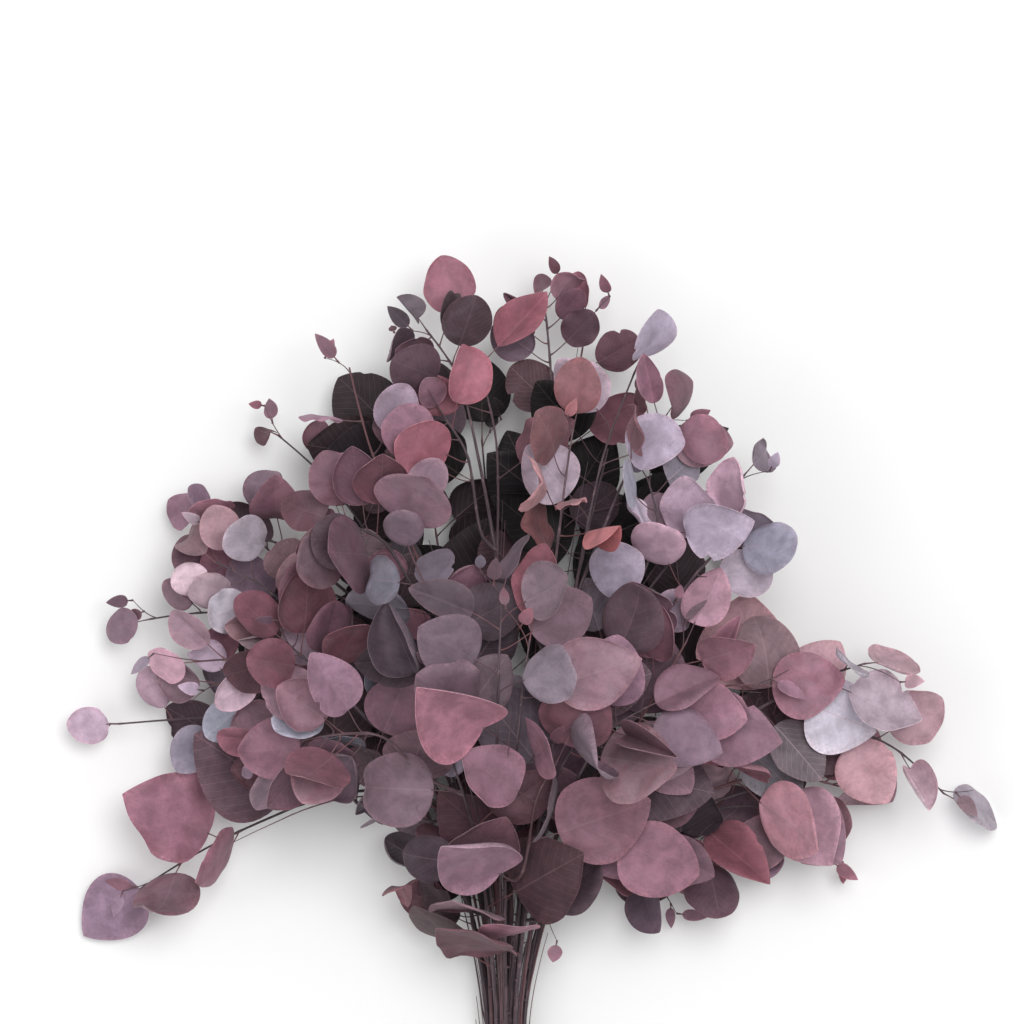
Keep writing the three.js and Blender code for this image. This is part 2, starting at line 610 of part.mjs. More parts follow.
// One random pose for a leaf: out from its tube to one side, facing more or less up.
function poseLeaf(tube, leaf, attempt) {
  const loose = LOOSE_START + attempt / LOOSE_TRIES;
  const stray = (amount, most = amount) => radians(clamp(bell() * amount * loose, -most, most));
  const isTip = leaf.share >= 1;
  const roughShare = clamp(leaf.share + spread(LEAF_SLIDE * loose), LEAF_SLIDE, 1 - LEAF_SLIDE);
  const tipShare = 1 - TIP_STALK_INSET / tube.length;
  const share = isTip ? tipShare : clearOfRings(tube, roughShare, STALK_RING_MARGIN);
  const { middle: root, tangent } = placeOn(tube, share);
  const sideways = new THREE.Vector3().crossVectors(UP, tangent).normalize();
  const upward = new THREE.Vector3().crossVectors(tangent, sideways);
  const rise = radians(STALK_RISE) + stray(STALK_RISE_SPREAD);
  const opening = isTip
    ? stray(TIP_OPENING_SPREAD)
    : radians(STALK_OPENING) + stray(STALK_OPENING_SPREAD);
  const outward = mix([sideways, Math.cos(rise) * leaf.side], [upward, Math.sin(rise)]);
  const stalkWay = mix([tangent, Math.cos(opening)], [outward, Math.sin(opening)]).normalize();
  const free = lerp(FLAT_SHARE, 1, clamp(root.z / FREE_HEIGHT, 0, 1));
  const along = stalkWay.clone().applyAxisAngle(UP, stray(BLADE_SWING_SPREAD, BLADE_MOST_SWING));
  const level = new THREE.Vector3().crossVectors(UP, along).normalize();
  along.applyAxisAngle(level, stray(BLADE_PITCH_SPREAD, BLADE_MOST_PITCH) * free);
  const face = new THREE.Vector3().crossVectors(along, level);
  const outwardRoll = radians(BLADE_OUTWARD_ROLL) * Math.sign(-outward.dot(level));
  face.applyAxisAngle(along, outwardRoll + stray(BLADE_ROLL_SPREAD, BLADE_MOST_ROLL) * free);
  if (leaf.turned) face.negate();
  const length = leaf.length * (1 - LEAF_SHRINK * (attempt / LEAF_TRIES) ** 2);
  const stalkShare = lerp(STALK_SHORTEST, STALK_LONGEST, random()) * (isTip ? TIP_STALK_SHARE : 1);
  return makeLeaf({
    root,
    base: mix([root, 1], [stalkWay, length * stalkShare * leaf.stalks + STEM_RADIUS]),
    along,
    face,
    length,
    halfWidth: (length * leaf.roundness) / 2,
    dish: leaf.dish * length,
  });
}

function isInside(corners, { x, y }) {
  const crossings = corners.filter(([x1, y1], i) => {
    const [x2, y2] = corners[(i + 1) % corners.length];
    return y1 > y !== y2 > y && x < x1 + ((y - y1) / (y2 - y1)) * (x2 - x1);
  });
  return crossings.length % 2 === 1;
}

function keepsToTheHead({ points, centre }) {
  if (!points.every((point) => isInside(HEAD_OUTLINE, point))) return false;
  if (centre.z < HOLLOW_HEIGHT) return true;
  return !HOLLOWS.some((hollow) => points.some((point) => isInside(hollow, point)));
}

function leafIsClear({ blade, stalk }, tube) {
  if (!keepsToTheHead(blade) || !isAboveTable(blade) || !isAboveTable(stalk)) return false;
  const missesWood = wood.every((other) => areClear(blade, other.piece, STALK_GAP)
    && (other.tube === tube || areClear(stalk, other.piece, STALK_GAP)));
  const missesBlades = missesWood && blades.every((other) => areClear(blade, other, BLADE_GAP)
    && areClear(stalk, other, STALK_GAP));
  return missesBlades && stalks.every((other) => areClear(blade, other.stalk, STALK_GAP)
    && (other.tube === tube || areClear(stalk, other.stalk, STALK_GAP)));
}

function growLeaf(tube, leaf) {
  for (let attempt = 0; attempt < LEAF_TRIES; attempt += 1) {
    const shape = poseLeaf(tube, leaf, attempt);
    const { blade, stalk } = leafPieces(shape);
    if (!leafIsClear({ blade, stalk }, tube)) continue;
    blades.push(blade);
    stalks.push({ stalk, tube });
    return shape;
  }
  return null;
}

// The leaves of one tube: alternate sides, smaller toward the tip, with one at the very end.
function growLeaves(tube, { from = SHOOT_BARE_SHARE, leaves, size, stalks: stalkLength = 1 }) {
  const shapes = [];
  for (let i = leaves - 1; i >= 0; i -= 1) {
    const rank = i / (leaves - 1);
    const shape = growLeaf(tube, {
      share: from + (1 - from) * rank,
      side: i % 2 === 0 ? 1 : -1,
      stalks: stalkLength,
      length: size * lerp(...LEAF_TAPER, rank) * (1 + spread(LEAF_SIZE_SPREAD)),
      roundness: LEAF_ROUNDNESS + spread(LEAF_ROUNDNESS_SPREAD),
      dish: LEAF_DISH + spread(LEAF_DISH_SPREAD),
      turned: random() < TURNED_SHARE,
    });
    if (shape) shapes.push(shape);
  }
  return shapes;
}

// ---- the parts ----

function growStems() {
  return BRANCHES.map((branch) => growTube(branch, (wander) => stemRoute(branch, wander), false));
}

function growShoots(branch, stem) {
  return branch.shoots.map(({ from, route }) => {
    const share = clearOfRings(stem, from, SHOOT_RING_MARGIN);
    return growTube(branch, (wander) => shootRoute(stem, share, route, wander), true);
  });
}

function makeBranch(branch, stem, shoots) {
  const shapes = growLeaves(stem, branch.lead);
  shoots.forEach((shoot, i) => shapes.push(...growLeaves(shoot, branch.shoots[i])));
  const pieces = [...shoots.map(tubeSolid), ...shapes.map(leafSolid)];
  const solid = pieces.reduce((whole, piece) => whole.add(piece), tubeSolid(stem));
  const color = LEAF_COLOURS[branch.tone];
  const mesh = new THREE.Mesh(geometryOf(solid), new THREE.MeshStandardMaterial({ color, roughness: 0.8 }));
  mesh.name = `branch_${branch.name}`;
  return mesh;
}

// The outline of a band around the six-sided bundle, round over the six corner stems.
function roundedHexagon(outline, radius) {
  for (let corner = 0; corner < 6; corner += 1) {
    const angle = (corner * Math.PI) / 3;
    const reach = 2 * STEM_PITCH;
    outline.absarc(Math.cos(angle) * reach, Math.sin(angle) * reach, radius,
      angle - Math.PI / 6, angle + Math.PI / 6, false);
  }
  outline.closePath();
  return outline;
}

function makeBand() {
  const innerRadius = STEM_RADIUS + BAND_CLEARANCE;
  const outline = roundedHexagon(new THREE.Shape(), innerRadius + BAND_THICKNESS);
  outline.holes.push(roundedHexagon(new THREE.Path(), innerRadius));
  const options = { depth: BAND_WIDTH, curveSegments: 3, bevelEnabled: false };
  const geometry = new THREE.ExtrudeGeometry(outline, options);
  geometry.translate(0, 0, -BAND_WIDTH / 2);
  geometry.rotateX(Math.PI / 2);
  geometry.translate(0, 0, BUNDLE_HEIGHT);
  const material = new THREE.MeshStandardMaterial({ color: BAND_COLOUR, roughness: 0.7 });
  const mesh = new THREE.Mesh(geometry, material);
  mesh.name = 'elastic_band';
  return mesh;
}

// ---- the bunch, on the table, with its middle over the origin ----

const bunch = new THREE.Group();
const stems = growStems();
const shoots = BRANCHES.map((branch, i) => growShoots(branch, stems[i]));
BRANCHES.forEach((branch, i) => bunch.add(makeBranch(branch, stems[i], shoots[i])));
bunch.add(makeBand());

const box = new THREE.Box3().setFromObject(bunch);
bunch.position.set(-(box.min.x + box.max.x) / 2, -(box.min.y + box.max.y) / 2, -box.min.z);

export default bunch;
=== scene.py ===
# %% [markdown]
# A bunch of preserved poplar foliage lies on a pale table. Nineteen cut branches are held by a
# rubber band, and each carries round leaves on long, thin stalks. The CAD frame knows where
# every stem, shoot and leaf is, so this lesson reads those places back from the CAD solids and
# grows a fine leaf or a fine stem on each of them. Nothing is placed twice by hand.

# %% Load the frame
import json
import math
from itertools import combinations

import bpy
import numpy as np
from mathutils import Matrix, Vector
from mathutils.bvhtree import BVHTree
from mathutils.kdtree import KDTree


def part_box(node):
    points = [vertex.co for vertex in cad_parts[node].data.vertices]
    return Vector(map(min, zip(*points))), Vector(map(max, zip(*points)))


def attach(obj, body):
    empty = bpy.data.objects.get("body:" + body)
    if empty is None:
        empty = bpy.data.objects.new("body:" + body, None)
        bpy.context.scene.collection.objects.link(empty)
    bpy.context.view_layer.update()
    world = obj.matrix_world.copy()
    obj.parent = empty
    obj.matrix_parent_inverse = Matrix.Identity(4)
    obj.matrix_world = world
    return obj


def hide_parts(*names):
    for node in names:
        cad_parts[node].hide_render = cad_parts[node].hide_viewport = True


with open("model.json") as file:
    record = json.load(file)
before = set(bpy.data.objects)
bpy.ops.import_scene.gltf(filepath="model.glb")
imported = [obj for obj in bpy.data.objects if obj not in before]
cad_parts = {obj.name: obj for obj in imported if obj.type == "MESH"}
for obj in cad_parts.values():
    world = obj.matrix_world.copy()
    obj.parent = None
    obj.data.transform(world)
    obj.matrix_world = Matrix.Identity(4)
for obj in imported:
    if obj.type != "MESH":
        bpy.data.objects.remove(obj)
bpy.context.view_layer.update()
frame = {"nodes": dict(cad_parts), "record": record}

MM = 0.001
rng = np.random.default_rng(20261)
branch_nodes = sorted(name for name in frame["nodes"] if name.startswith("branch_"))

# %% [markdown]
# The solids arrive as loose triangles. Corners that lie in one place are welded into one corner,
# which then knows its neighbours. That is all that is needed to recognise a shape in a mesh.

# %% Weld a node's triangles and list which corners are neighbours
WELD = 0.01 * MM


def welded(node):
    mesh = frame["nodes"][node].data
    raw = np.empty(len(mesh.vertices) * 3)
    mesh.vertices.foreach_get("co", raw)
    raw = raw.reshape(-1, 3)
    _, first, place = np.unique(np.round(raw / WELD).astype(np.int64), axis=0,
                                return_index=True, return_inverse=True)
    place = place.ravel()
    neighbours = [set() for _ in first]
    for polygon in mesh.polygons:
        corners = [int(place[i]) for i in polygon.vertices]
        for a, b in zip(corners, corners[1:] + corners[:1]):
            if a != b:
                neighbours[a].add(b)
                neighbours[b].add(a)
    return raw[first], neighbours


# %% [markdown]
# In the CAD solid of a branch, a leaf is a thin lens: a seven-cornered rim, with one corner in
# the middle of each face. The top corner touches only the rim. The bottom one also touches the
# keel, the lowest corner of the leaf stalk. That pattern of neighbours occurs nowhere else in
# the solid, so it finds every leaf and says which face is up. Reading it back keeps one source
# for all places. A second list of leaf places would drift away from the solids.

# %% Find the leaves of a branch
RIM_CORNERS = 7
RIM_WIDTH = 0.93
LENS_THICKNESS = 0.9 * MM
LENS_SLACK = 0.02 * MM


def unit(vector):
    return vector / np.linalg.norm(vector)


def leaf_from(points, neighbours, top, bottom):
    rim = neighbours[top]
    keel = (neighbours[bottom] - rim).pop()
    heel = sorted(neighbours[keel] & rim)
    base = points[heel].mean(axis=0)
    own = rim | {top, bottom, keel}
    foot = set().union(*(neighbours[i] for i in [keel, *heel])) - own
    corners = points[sorted(rim)]
    tip = corners[np.argmax(np.linalg.norm(corners - base, axis=1))]
    face = unit(points[top] - points[bottom])
    along = unit(tip - base)
    across = np.cross(face, along)
    middle = (points[top] + points[bottom]) / 2
    return {
        "base": base,
        "along": along,
        "across": across,
        "face": face,
        "length": np.linalg.norm(tip - base),
        "width": np.ptp((corners - base) @ across) / RIM_WIDTH,
        "dish": (middle - base) @ face,
        "foot": points[sorted(foot)].mean(axis=0),
        "own": own,
    }


def find_leaves(points, neighbours):
    leaves = []
    for top, rim in enumerate(neighbours):
        if len(rim) != RIM_CORNERS:
            continue
        near = set.intersection(*(neighbours[i] for i in rim)) - {top}
        for bottom in near:
            thickness = np.linalg.norm(points[top] - points[bottom])
            fits = abs(thickness - LENS_THICKNESS) < LENS_SLACK
            if fits and len(neighbours[bottom]) == RIM_CORNERS + 1:
                leaves.append(leaf_from(points, neighbours, top, bottom))
    return leaves


# %% [markdown]
# A stem or a shoot is a tapered tube in the CAD solid, with a regular six-sided ring at each
# station. Three corners in a row of such a ring give its centre: a + c - b. The other three lie
# straight across it. Rings joined by an edge belong to one tube, and sorting them from thick to
# thin puts them in order from the root to the tip.

# %% Find the rings of a branch and chain them into tubes
RING_SLACK = 0.01 * MM
THINNEST_RING = 0.5 * MM
SAME_RING = 0.2 * MM


def ring_through(points, a, b, c):
    """The centre and radius of a six-sided ring with a, b and c in a row, or None."""
    centre = points[a] + points[c] - points[b]
    radius = np.linalg.norm(points[a] - points[b])
    others = [np.linalg.norm(points[c] - points[b]), np.linalg.norm(centre - points[b])]
    if radius < THINNEST_RING or max(abs(other - radius) for other in others) > RING_SLACK:
        return None
    return centre, radius


def find_rings(points, neighbours, taken):
    tree = KDTree(len(points))
    for i, point in enumerate(points):
        tree.insert(point, i)
    tree.balance()
    rings = {}
    for b in sorted(set(range(len(points))) - taken):
        for a, c in combinations(sorted(neighbours[b] - taken), 2):
            ring = ring_through(points, a, b, c)
            if ring is None:
                continue
            centre, radius = ring
            found = [tree.find(2 * centre - points[i]) for i in (a, b, c)]
            across = [i for _, i, distance in found if distance < 2 * RING_SLACK]
            if len(across) >= 2:
                key = tuple(np.round(centre / SAME_RING).astype(int))
                rings.setdefault(key, {"centre": centre, "radius": radius, "corners": set()})
                rings[key]["corners"] |= {a, b, c, *across}
    return list(rings.values())


def chain_tubes(rings, neighbours):
    owner = {corner: n for n, ring in enumerate(rings) for corner in ring["corners"]}
    group = list(range(len(rings)))

    def root_of(n):
        while group[n] != n:
            n = group[n]
        return n

    for corner, n in owner.items():
        for other in neighbours[corner]:
            if other in owner:
                group[root_of(n)] = root_of(owner[other])
    tubes = {}
    for n, ring in enumerate(rings):
        tubes.setdefault(root_of(n), []).append(ring)
    chains = [sorted(tube, key=lambda ring: -ring["radius"]) for tube in tubes.values()]
    return sorted(chains, key=lambda tube: -tube[0]["radius"])


# %% [markdown]
# Where a shoot leaves right beside a ring, it hides some of that ring's corners and breaks the
# chain in two. Every tube thins evenly along its length, so the missing stretch is easy to
# bridge: the next chain starts straight ahead, with just the radius that the taper predicts.

# %% Join chains that a shoot has broken
TAPER_SLACK = 0.05 * MM
LONGEST_BREAK = 130 * MM
STRAIGHT_ON = 0.8


def break_error(first, second):
    """How badly the second chain's radius fits as the first one's continuation, in metres."""
    gap = second[0]["centre"] - first[-1]["centre"]
    length = np.linalg.norm(gap)
    if length > LONGEST_BREAK or second[0]["radius"] >= first[-1]["radius"]:
        return math.inf
    known = first[-2:] if len(first) > 1 else second[:2]
    if len(known) < 2:
        return math.inf
    run = known[1]["centre"] - known[0]["centre"]
    taper = (known[0]["radius"] - known[1]["radius"]) / np.linalg.norm(run)
    if unit(run) @ gap / length < STRAIGHT_ON:
        return math.inf
    return abs(first[-1]["radius"] - taper * length - second[0]["radius"])


def join_chains(chains):
    chains = list(chains)
    while True:
        errors = [(break_error(a, b), i, j) for i, a in enumerate(chains)
                  for j, b in enumerate(chains) if i != j]
        error, i, j = min(errors, default=(math.inf, 0, 0))
        if error > TAPER_SLACK:
            return sorted(chains, key=lambda tube: -tube[0]["radius"])
        chains[i] = chains[i] + chains[j]
        del chains[j]


# %% [markdown]
# Every branch is now read back: its leaves first, then the rings that are left over, which make
# its stem and its shoots. The printed numbers can be compared with what the CAD laid out.

# %% Read every branch
leaf_total = 0
branches = {}
for node in branch_nodes:
    points, neighbours = welded(node)
    leaves = find_leaves(points, neighbours)
    taken = set().union(*(leaf["own"] for leaf in leaves))
    tubes = join_chains(chain_tubes(find_rings(points, neighbours, taken), neighbours))
    branches[node] = {"leaves": leaves, "tubes": tubes}
    leaf_total += len(leaves)
    print(node, len(leaves), "leaves, rings per tube:", [len(tube) for tube in tubes])
print("leaves in all:", leaf_total)

# %% [markdown]
# A preserved leaf is a thin, supple sheet. It is nearly round with a short point, its base
# narrows into the leaf stalk, and no two dry the same way: most stay almost flat, some fold
# along the midrib, some roll at the tip, and a few are chipped at the margin. A flat card with
# a picture of a leaf would look right only from straight above. So each leaf is a closed sheet
# on a grid: u runs from base to tip, v from margin to margin.

# %% The outline and the sheet of one leaf
LEAF_THICKNESS = 0.42 * MM
STALK_RADIUS = 0.42 * MM
BLUNT_TIP = 0.2 * MM
CREASE_RADIUS = 1.2 * MM
FOLD_SKEW = 2.0
HEM_PULL = 0.35
NO_BEND = 1e-6
DISH_MIDDLE = 0.48
MARGIN_LAG = 0.9
BUCKLES_ALONG, BUCKLES_ACROSS = 7.3, 3.1


def grid(rows, columns):
    u = 0.5 - 0.5 * np.cos(np.pi * np.arange(rows + 1) / rows)
    t = np.linspace(-1, 1, columns + 1)
    v = np.sign(t) * np.abs(t) ** 1.2
    return np.meshgrid(u, v, indexing="ij")


def outline_share(u, pointed):
    """Half width at u as a share of the widest half width: 0.5 is round, 0.95 has a long point."""
    widest = 0.5 / (0.5 + pointed)
    return (u / widest) ** 0.5 * ((1 - u) / (1 - widest)) ** pointed


def turned(first, second, angle):
    """Two coordinates after a turn by angle, from the first axis toward the second."""
    cos, sin = np.cos(angle), np.sin(angle)
    return first * cos - second * sin, first * sin + second * cos


def half_widths(leaf, habit, u, v):
    """Half the width of the blade at each u, v, and its share of the widest."""
    share = outline_share(u, habit["pointed"])
    for place, side, depth, wide in habit["chips"]:
        share = share * (1 - depth * np.exp(-((u - place) / wide) ** 2) * (v * side > 0))
    half = leaf["width"] / 2 * (1 + habit["lopsided"] * np.sign(v))
    return np.maximum(half * share, STALK_RADIUS + (BLUNT_TIP - STALK_RADIUS) * u), share


def relief(leaf, habit, u, v, share):
    """Height of the sheet over its flat outline: the dish, the rippled margin and the buckles."""
    length, phase = leaf["length"], habit["phase"]
    out_share = np.clip(v ** 2 + ((u - DISH_MIDDLE) / (1 - DISH_MIDDLE)) ** 2, 0, 1)
    ripple = np.sin(2 * np.pi * habit["ripples"] * u + phase + np.sign(v) * MARGIN_LAG)
    ripple = np.abs(v) ** 2.2 * ripple * np.sqrt(share.clip(0, 1))
    buckle = np.sin(BUCKLES_ALONG * u + phase * 3) * np.cos(BUCKLES_ACROSS * v + phase)
    buckle = buckle * np.sin(np.pi * u)
    dish = leaf["dish"] * (1 - out_share)
    return dish + length * (habit["ripple_height"] * ripple + habit["buckle"] * buckle)


def rolled(x, z, u, habit):
    """Bends the blade along its length, and turns it back so that its tip stays low."""
    turn = (habit["bend"] + NO_BEND) * u ** habit["bend_late"]
    steps = np.diff(x, axis=0, prepend=0)
    step_x = np.cumsum(steps * np.cos(turn), axis=0)
    step_z = np.cumsum(steps * np.sin(turn), axis=0)
    back = habit["settle"] * np.arctan2(step_z[-1, 0], step_x[-1, 0])
    return turned(step_x - z * np.sin(turn), step_z + z * np.cos(turn), -back)


def leaf_surface(leaf, habit, u, v):
    """Points of the middle of the sheet, in the frame's metres."""
    half_width, share = half_widths(leaf, habit, u, v)
    y = v * half_width
    z = relief(leaf, habit, u, v, share)
    fold = habit["fold"] * (1 + FOLD_SKEW * np.sign(v) * habit["lopsided"])
    lift = np.sin(fold) * (np.sqrt(y ** 2 + CREASE_RADIUS ** 2) - CREASE_RADIUS)
    y, z = y * np.cos(fold), z * np.cos(fold) + lift
    hem = habit["curl"] * np.abs(v) ** 5
    y, z = y * (1 - HEM_PULL * np.abs(hem)), z + hem * half_width
    y, z = turned(y, z, habit["twist"] * u)
    x, z = rolled(u * leaf["length"], z, u, habit)
    return (leaf["base"] + x[..., None] * leaf["along"] + y[..., None] * leaf["across"]
            + z[..., None] * leaf["face"])


# %% [markdown]
# A leaf's habit says how it dried. Each leaf draws a lively habit first and falls back to
# calmer ones. The test is a bounding volume tree of a coarse sheet: a habit is taken only where
# its sheet cuts no other leaf. All leaves start calm, because the CAD keeps calm leaves apart.

# %% Habits
MILDER_SHARES = (1.0, 0.6, 0.3)


def calm_habit():
    return {
        "lopsided": rng.uniform(-0.05, 0.05),
        "pointed": 0.62,
        "chips": [],
        "ripples": rng.uniform(1.2, 2.6),
        "phase": rng.uniform(0, 2 * np.pi),
        "ripple_height": 0.012,
        "buckle": 0.004,
        "fold": 0.0,
        "curl": 0.0,
        "twist": 0.0,
        "bend": 0.0,
        "bend_late": 1.0,
        "settle": 1.0,
    }


def lively_habits(calm):
    """From the liveliest to the mildest, for one leaf."""
    kind = rng.choice(["open", "folded", "rolled", "wavy"], p=[0.44, 0.22, 0.14, 0.20])
    sign = rng.choice([-1, 1])
    chips = []
    if rng.random() < 0.3:
        side, depth = rng.choice([-1, 1]), rng.uniform(0.06, 0.3)
        chips = [(rng.uniform(0.2, 0.85), side, depth, rng.uniform(0.02, 0.05))]
    full = dict(calm, chips=chips, curl=rng.normal(0, 0.22))
    if kind == "open":
        full.update(fold=rng.uniform(-0.1, 0.35), bend=rng.normal(0, 0.4), twist=rng.normal(0, 0.15),
                    ripple_height=rng.uniform(0.01, 0.03))
    elif kind == "folded":
        full.update(fold=rng.uniform(0.5, 1.15), bend=rng.normal(0, 0.35), twist=rng.normal(0, 0.2),
                    ripple_height=0.02)
    elif kind == "rolled":
        full.update(fold=rng.uniform(0.0, 0.3), bend=sign * rng.uniform(0.9, 1.9), bend_late=2.2,
                    twist=rng.normal(0, 0.2), settle=0.5)
    else:
        full.update(ripple_height=rng.uniform(0.035, 0.07), ripples=rng.uniform(1.6, 3.2),
                    bend=rng.normal(0, 0.3), fold=rng.uniform(0, 0.25), buckle=0.012)
    habits = []
    for share in MILDER_SHARES:
        milder = dict(full)
        for key in ("fold", "bend", "twist", "curl"):
            milder[key] = full[key] * share
        for key in ("ripple_height", "buckle"):
            milder[key] = calm[key] + (full[key] - calm[key]) * share
        habits.append(milder)
    return habits


# %% [markdown]
# To know whether a leaf cuts another one, both are made as coarse sheets and put into bounding
# volume trees. Two trees find their crossing triangles much faster than a test of every pair,
# and leaves whose boxes lie apart need no test at all.

# %% Test whether a shape cuts another
COARSE = (8, 8)
COARSE_U, COARSE_V = grid(*COARSE)


def grid_faces(rows, columns):
    i, j = np.meshgrid(np.arange(rows), np.arange(columns), indexing="ij")
    a = i * (columns + 1) + j
    return np.stack([a, a + columns + 1, a + columns + 2, a + 1], axis=-1).reshape(-1, 4)


COARSE_FACES = grid_faces(*COARSE).tolist()


def tree_of(points, faces):
    tree = BVHTree.FromPolygons([Vector(p) for p in points], faces)
    return {"tree": tree, "low": points.min(axis=0), "high": points.max(axis=0)}


def coarse_tree(leaf, habit):
    sheet = leaf_surface(leaf, habit, COARSE_U, COARSE_V)
    return tree_of(sheet.reshape(-1, 3), COARSE_FACES)


def boxes_apart(one, other):
    return np.any(one["low"] > other["high"]) or np.any(one["high"] < other["low"])


def is_free(candidate, others, skip=None):
    for n, other in enumerate(others):
        if n == skip or boxes_apart(candidate, other):
            continue
        if candidate["tree"].overlap(other["tree"]):
            return False
    return True


# %% [markdown]
# Small leaves are the roundest, and large ones carry a longer point. Each leaf takes the first
# of its habits that cuts no neighbour and stays above the table. A calm leaf that would still
# dip below the table is lifted by just as much as it lacks.

# %% Give every leaf its habit
all_leaves = [leaf for node in branch_nodes for leaf in branches[node]["leaves"]]
ROUND_LENGTH, POINTED_LENGTH = 32 * MM, 54 * MM
FLOOR_GAP = 0.3 * MM
UP = np.array([0.0, 0.0, 1.0])
for leaf in all_leaves:
    calm = calm_habit()
    grown = np.clip((leaf["length"] - ROUND_LENGTH) / (POINTED_LENGTH - ROUND_LENGTH), 0, 1)
    calm["pointed"] = float(np.clip(rng.normal(0.55, 0.04) + 0.34 * grown, 0.5, 0.98))
    leaf["habit"] = calm
trees = [coarse_tree(leaf, leaf["habit"]) for leaf in all_leaves]
lively = 0
for n, leaf in enumerate(all_leaves):
    for habit in lively_habits(leaf["habit"]):
        candidate = coarse_tree(leaf, habit)
        if candidate["low"][2] > FLOOR_GAP and is_free(candidate, trees, n):
            leaf["habit"] = habit
            trees[n] = candidate
            lively += 1
            break
for n, leaf in enumerate(all_leaves):
    sunk = FLOOR_GAP - trees[n]["low"][2]
    if sunk > 0:
        leaf["base"] = leaf["base"] + UP * sunk
        trees[n] = coarse_tree(leaf, leaf["habit"])
print(lively, "of", len(all_leaves), "leaves took a lively habit")

# %% [markdown]
# A stem is a woody tube that thins toward its tip. It is a little swollen where a leaf stalk or
# a shoot leaves it, and never quite straight. The CAD rings give its middle line and thickness.
# A smooth spline through the rings with many more stations makes the fine tube.

# %% A smooth path through the rings, and a tube along a path
SPLINE_SPANS = (((0, 1), (1, 2), (2, 3)), ((0, 2), (1, 3)), ((1, 2),))


def spline_point(corners, marks, t):
    """The point at t of a spline between the second and the third of four corners."""
    for spans in SPLINE_SPANS:
        shares = [(t - marks[low]) / (marks[high] - marks[low]) for low, high in spans]
        corners = [a * (1 - share) + b * share for a, b, share in zip(corners, corners[1:], shares)]
    return corners[0]


def smooth_path(knots, values, step):
    """Centripetal spline through knots; values, such as radii, are interpolated along it."""
    knots = np.asarray(knots)
    padded = np.vstack([2 * knots[0] - knots[1], knots, 2 * knots[-1] - knots[-2]])
    gaps = np.linalg.norm(np.diff(padded, axis=0), axis=1)
    times = np.concatenate([[0], np.cumsum(np.sqrt(gaps))])
    points, sizes = [], []
    for n in range(1, len(padded) - 2):
        count = max(2, int(gaps[n] / step))
        for t in np.linspace(times[n], times[n + 1], count, endpoint=False):
            points.append(spline_point(padded[n - 1:n + 3], times[n - 1:n + 3], t))
            part = (t - times[n]) / (times[n + 1] - times[n])
            sizes.append(values[n - 1] * (1 - part) + values[n] * part)
    return np.array([*points, knots[-1]]), np.array([*sizes, values[-1]])


def tube_rings(path, radii, sides):
    """Corner points of a round tube, turned along the path without twisting."""
    tangents = np.gradient(path, axis=0)
    tangents /= np.linalg.norm(tangents, axis=1)[:, None]
    side = np.cross(tangents[0], [0.3, 0.2, 1.0])
    angles = np.arange(sides)[:, None] / sides * 2 * np.pi
    rings = np.empty((len(path), sides, 3))
    for n, tangent in enumerate(tangents):
        side = unit(side - (side @ tangent) * tangent)
        other = np.cross(tangent, side)
        rings[n] = path[n] + radii[n] * (np.cos(angles) * side + np.sin(angles) * other)
    return rings


def tube_faces(count, sides):
    faces = []
    for n in range(count - 1):
        for k in range(sides):
            a, b = n * sides + k, n * sides + (k + 1) % sides
            faces.append((a, b, b + sides, a + sides))
    faces.append(tuple(range(sides - 1, -1, -1)))
    faces.append(tuple((count - 1) * sides + k for k in range(sides)))
    return faces


# %% [markdown]
# All leaves of a shoot become one mesh, since hundreds of separate pieces would be slow to
# handle. What differs from leaf to leaf travels with the points: the place on the leaf in a UV
# layer, and the tint and the rim in attributes, where the materials can read them.

# %% A builder that collects many small shapes into one mesh
class Builder:
    """Collects points and faces, with a leaf place, a tint, a rim share and a material each."""

    def __init__(self):
        self.points, self.faces, self.materials = [], [], []
        self.places, self.tints, self.rims = [], [], []

    def add(self, points, faces, materials, places, tint, rim=None):
        start = sum(len(p) for p in self.points)
        self.points.append(points)
        self.faces += [tuple(int(i) + start for i in face) for face in faces]
        self.materials += list(materials)
        self.places.append(places)
        self.tints.append(np.tile(tint, (len(points), 1)))
        self.rims.append(np.zeros(len(points)) if rim is None else rim)

    def finish(self, name, materials, sharp):
        points = np.vstack(self.points)
        mesh = bpy.data.meshes.new(name)
        mesh.from_pydata(points.tolist(), [], self.faces)
        for material in materials:
            mesh.materials.append(material)
        mesh.polygons.foreach_set("material_index", self.materials)
        mesh.shade_smooth()
        mesh.set_sharp_from_angle(angle=math.radians(sharp))
        places = np.vstack(self.places)
        corners = np.empty(len(mesh.loops), dtype=np.int64)
        mesh.loops.foreach_get("vertex_index", corners)
        layer = mesh.uv_layers.new(name="Place")
        layer.data.foreach_set("uv", places[corners].astype(np.float32).ravel())
        tint = mesh.attributes.new("tint", "FLOAT_COLOR", "POINT")
        tint.data.foreach_set("color", np.vstack(self.tints).astype(np.float32).ravel())
        rim = mesh.attributes.new("rim", "FLOAT", "POINT")
        rim.data.foreach_set("value", np.concatenate(self.rims).astype(np.float32))
        mesh.validate()
        piece = bpy.data.objects.new(name, mesh)
        bpy.context.scene.collection.objects.link(piece)
        return piece


# %% [markdown]
# The sheet becomes a solid leaf: an upper face, an under face, and a strip around the rim that
# joins them. The midrib is a fine groove on the top and a ridge underneath, and the blade thins
# toward its margin.

# %% A leaf
UPPER, UNDER, STALK = 0, 1, 2
RIB_WIDTH = 0.05
RIB_HEIGHT = 0.4 * MM
GROOVE_DEPTH = 0.12 * MM
MARGIN_THINNING = 0.45


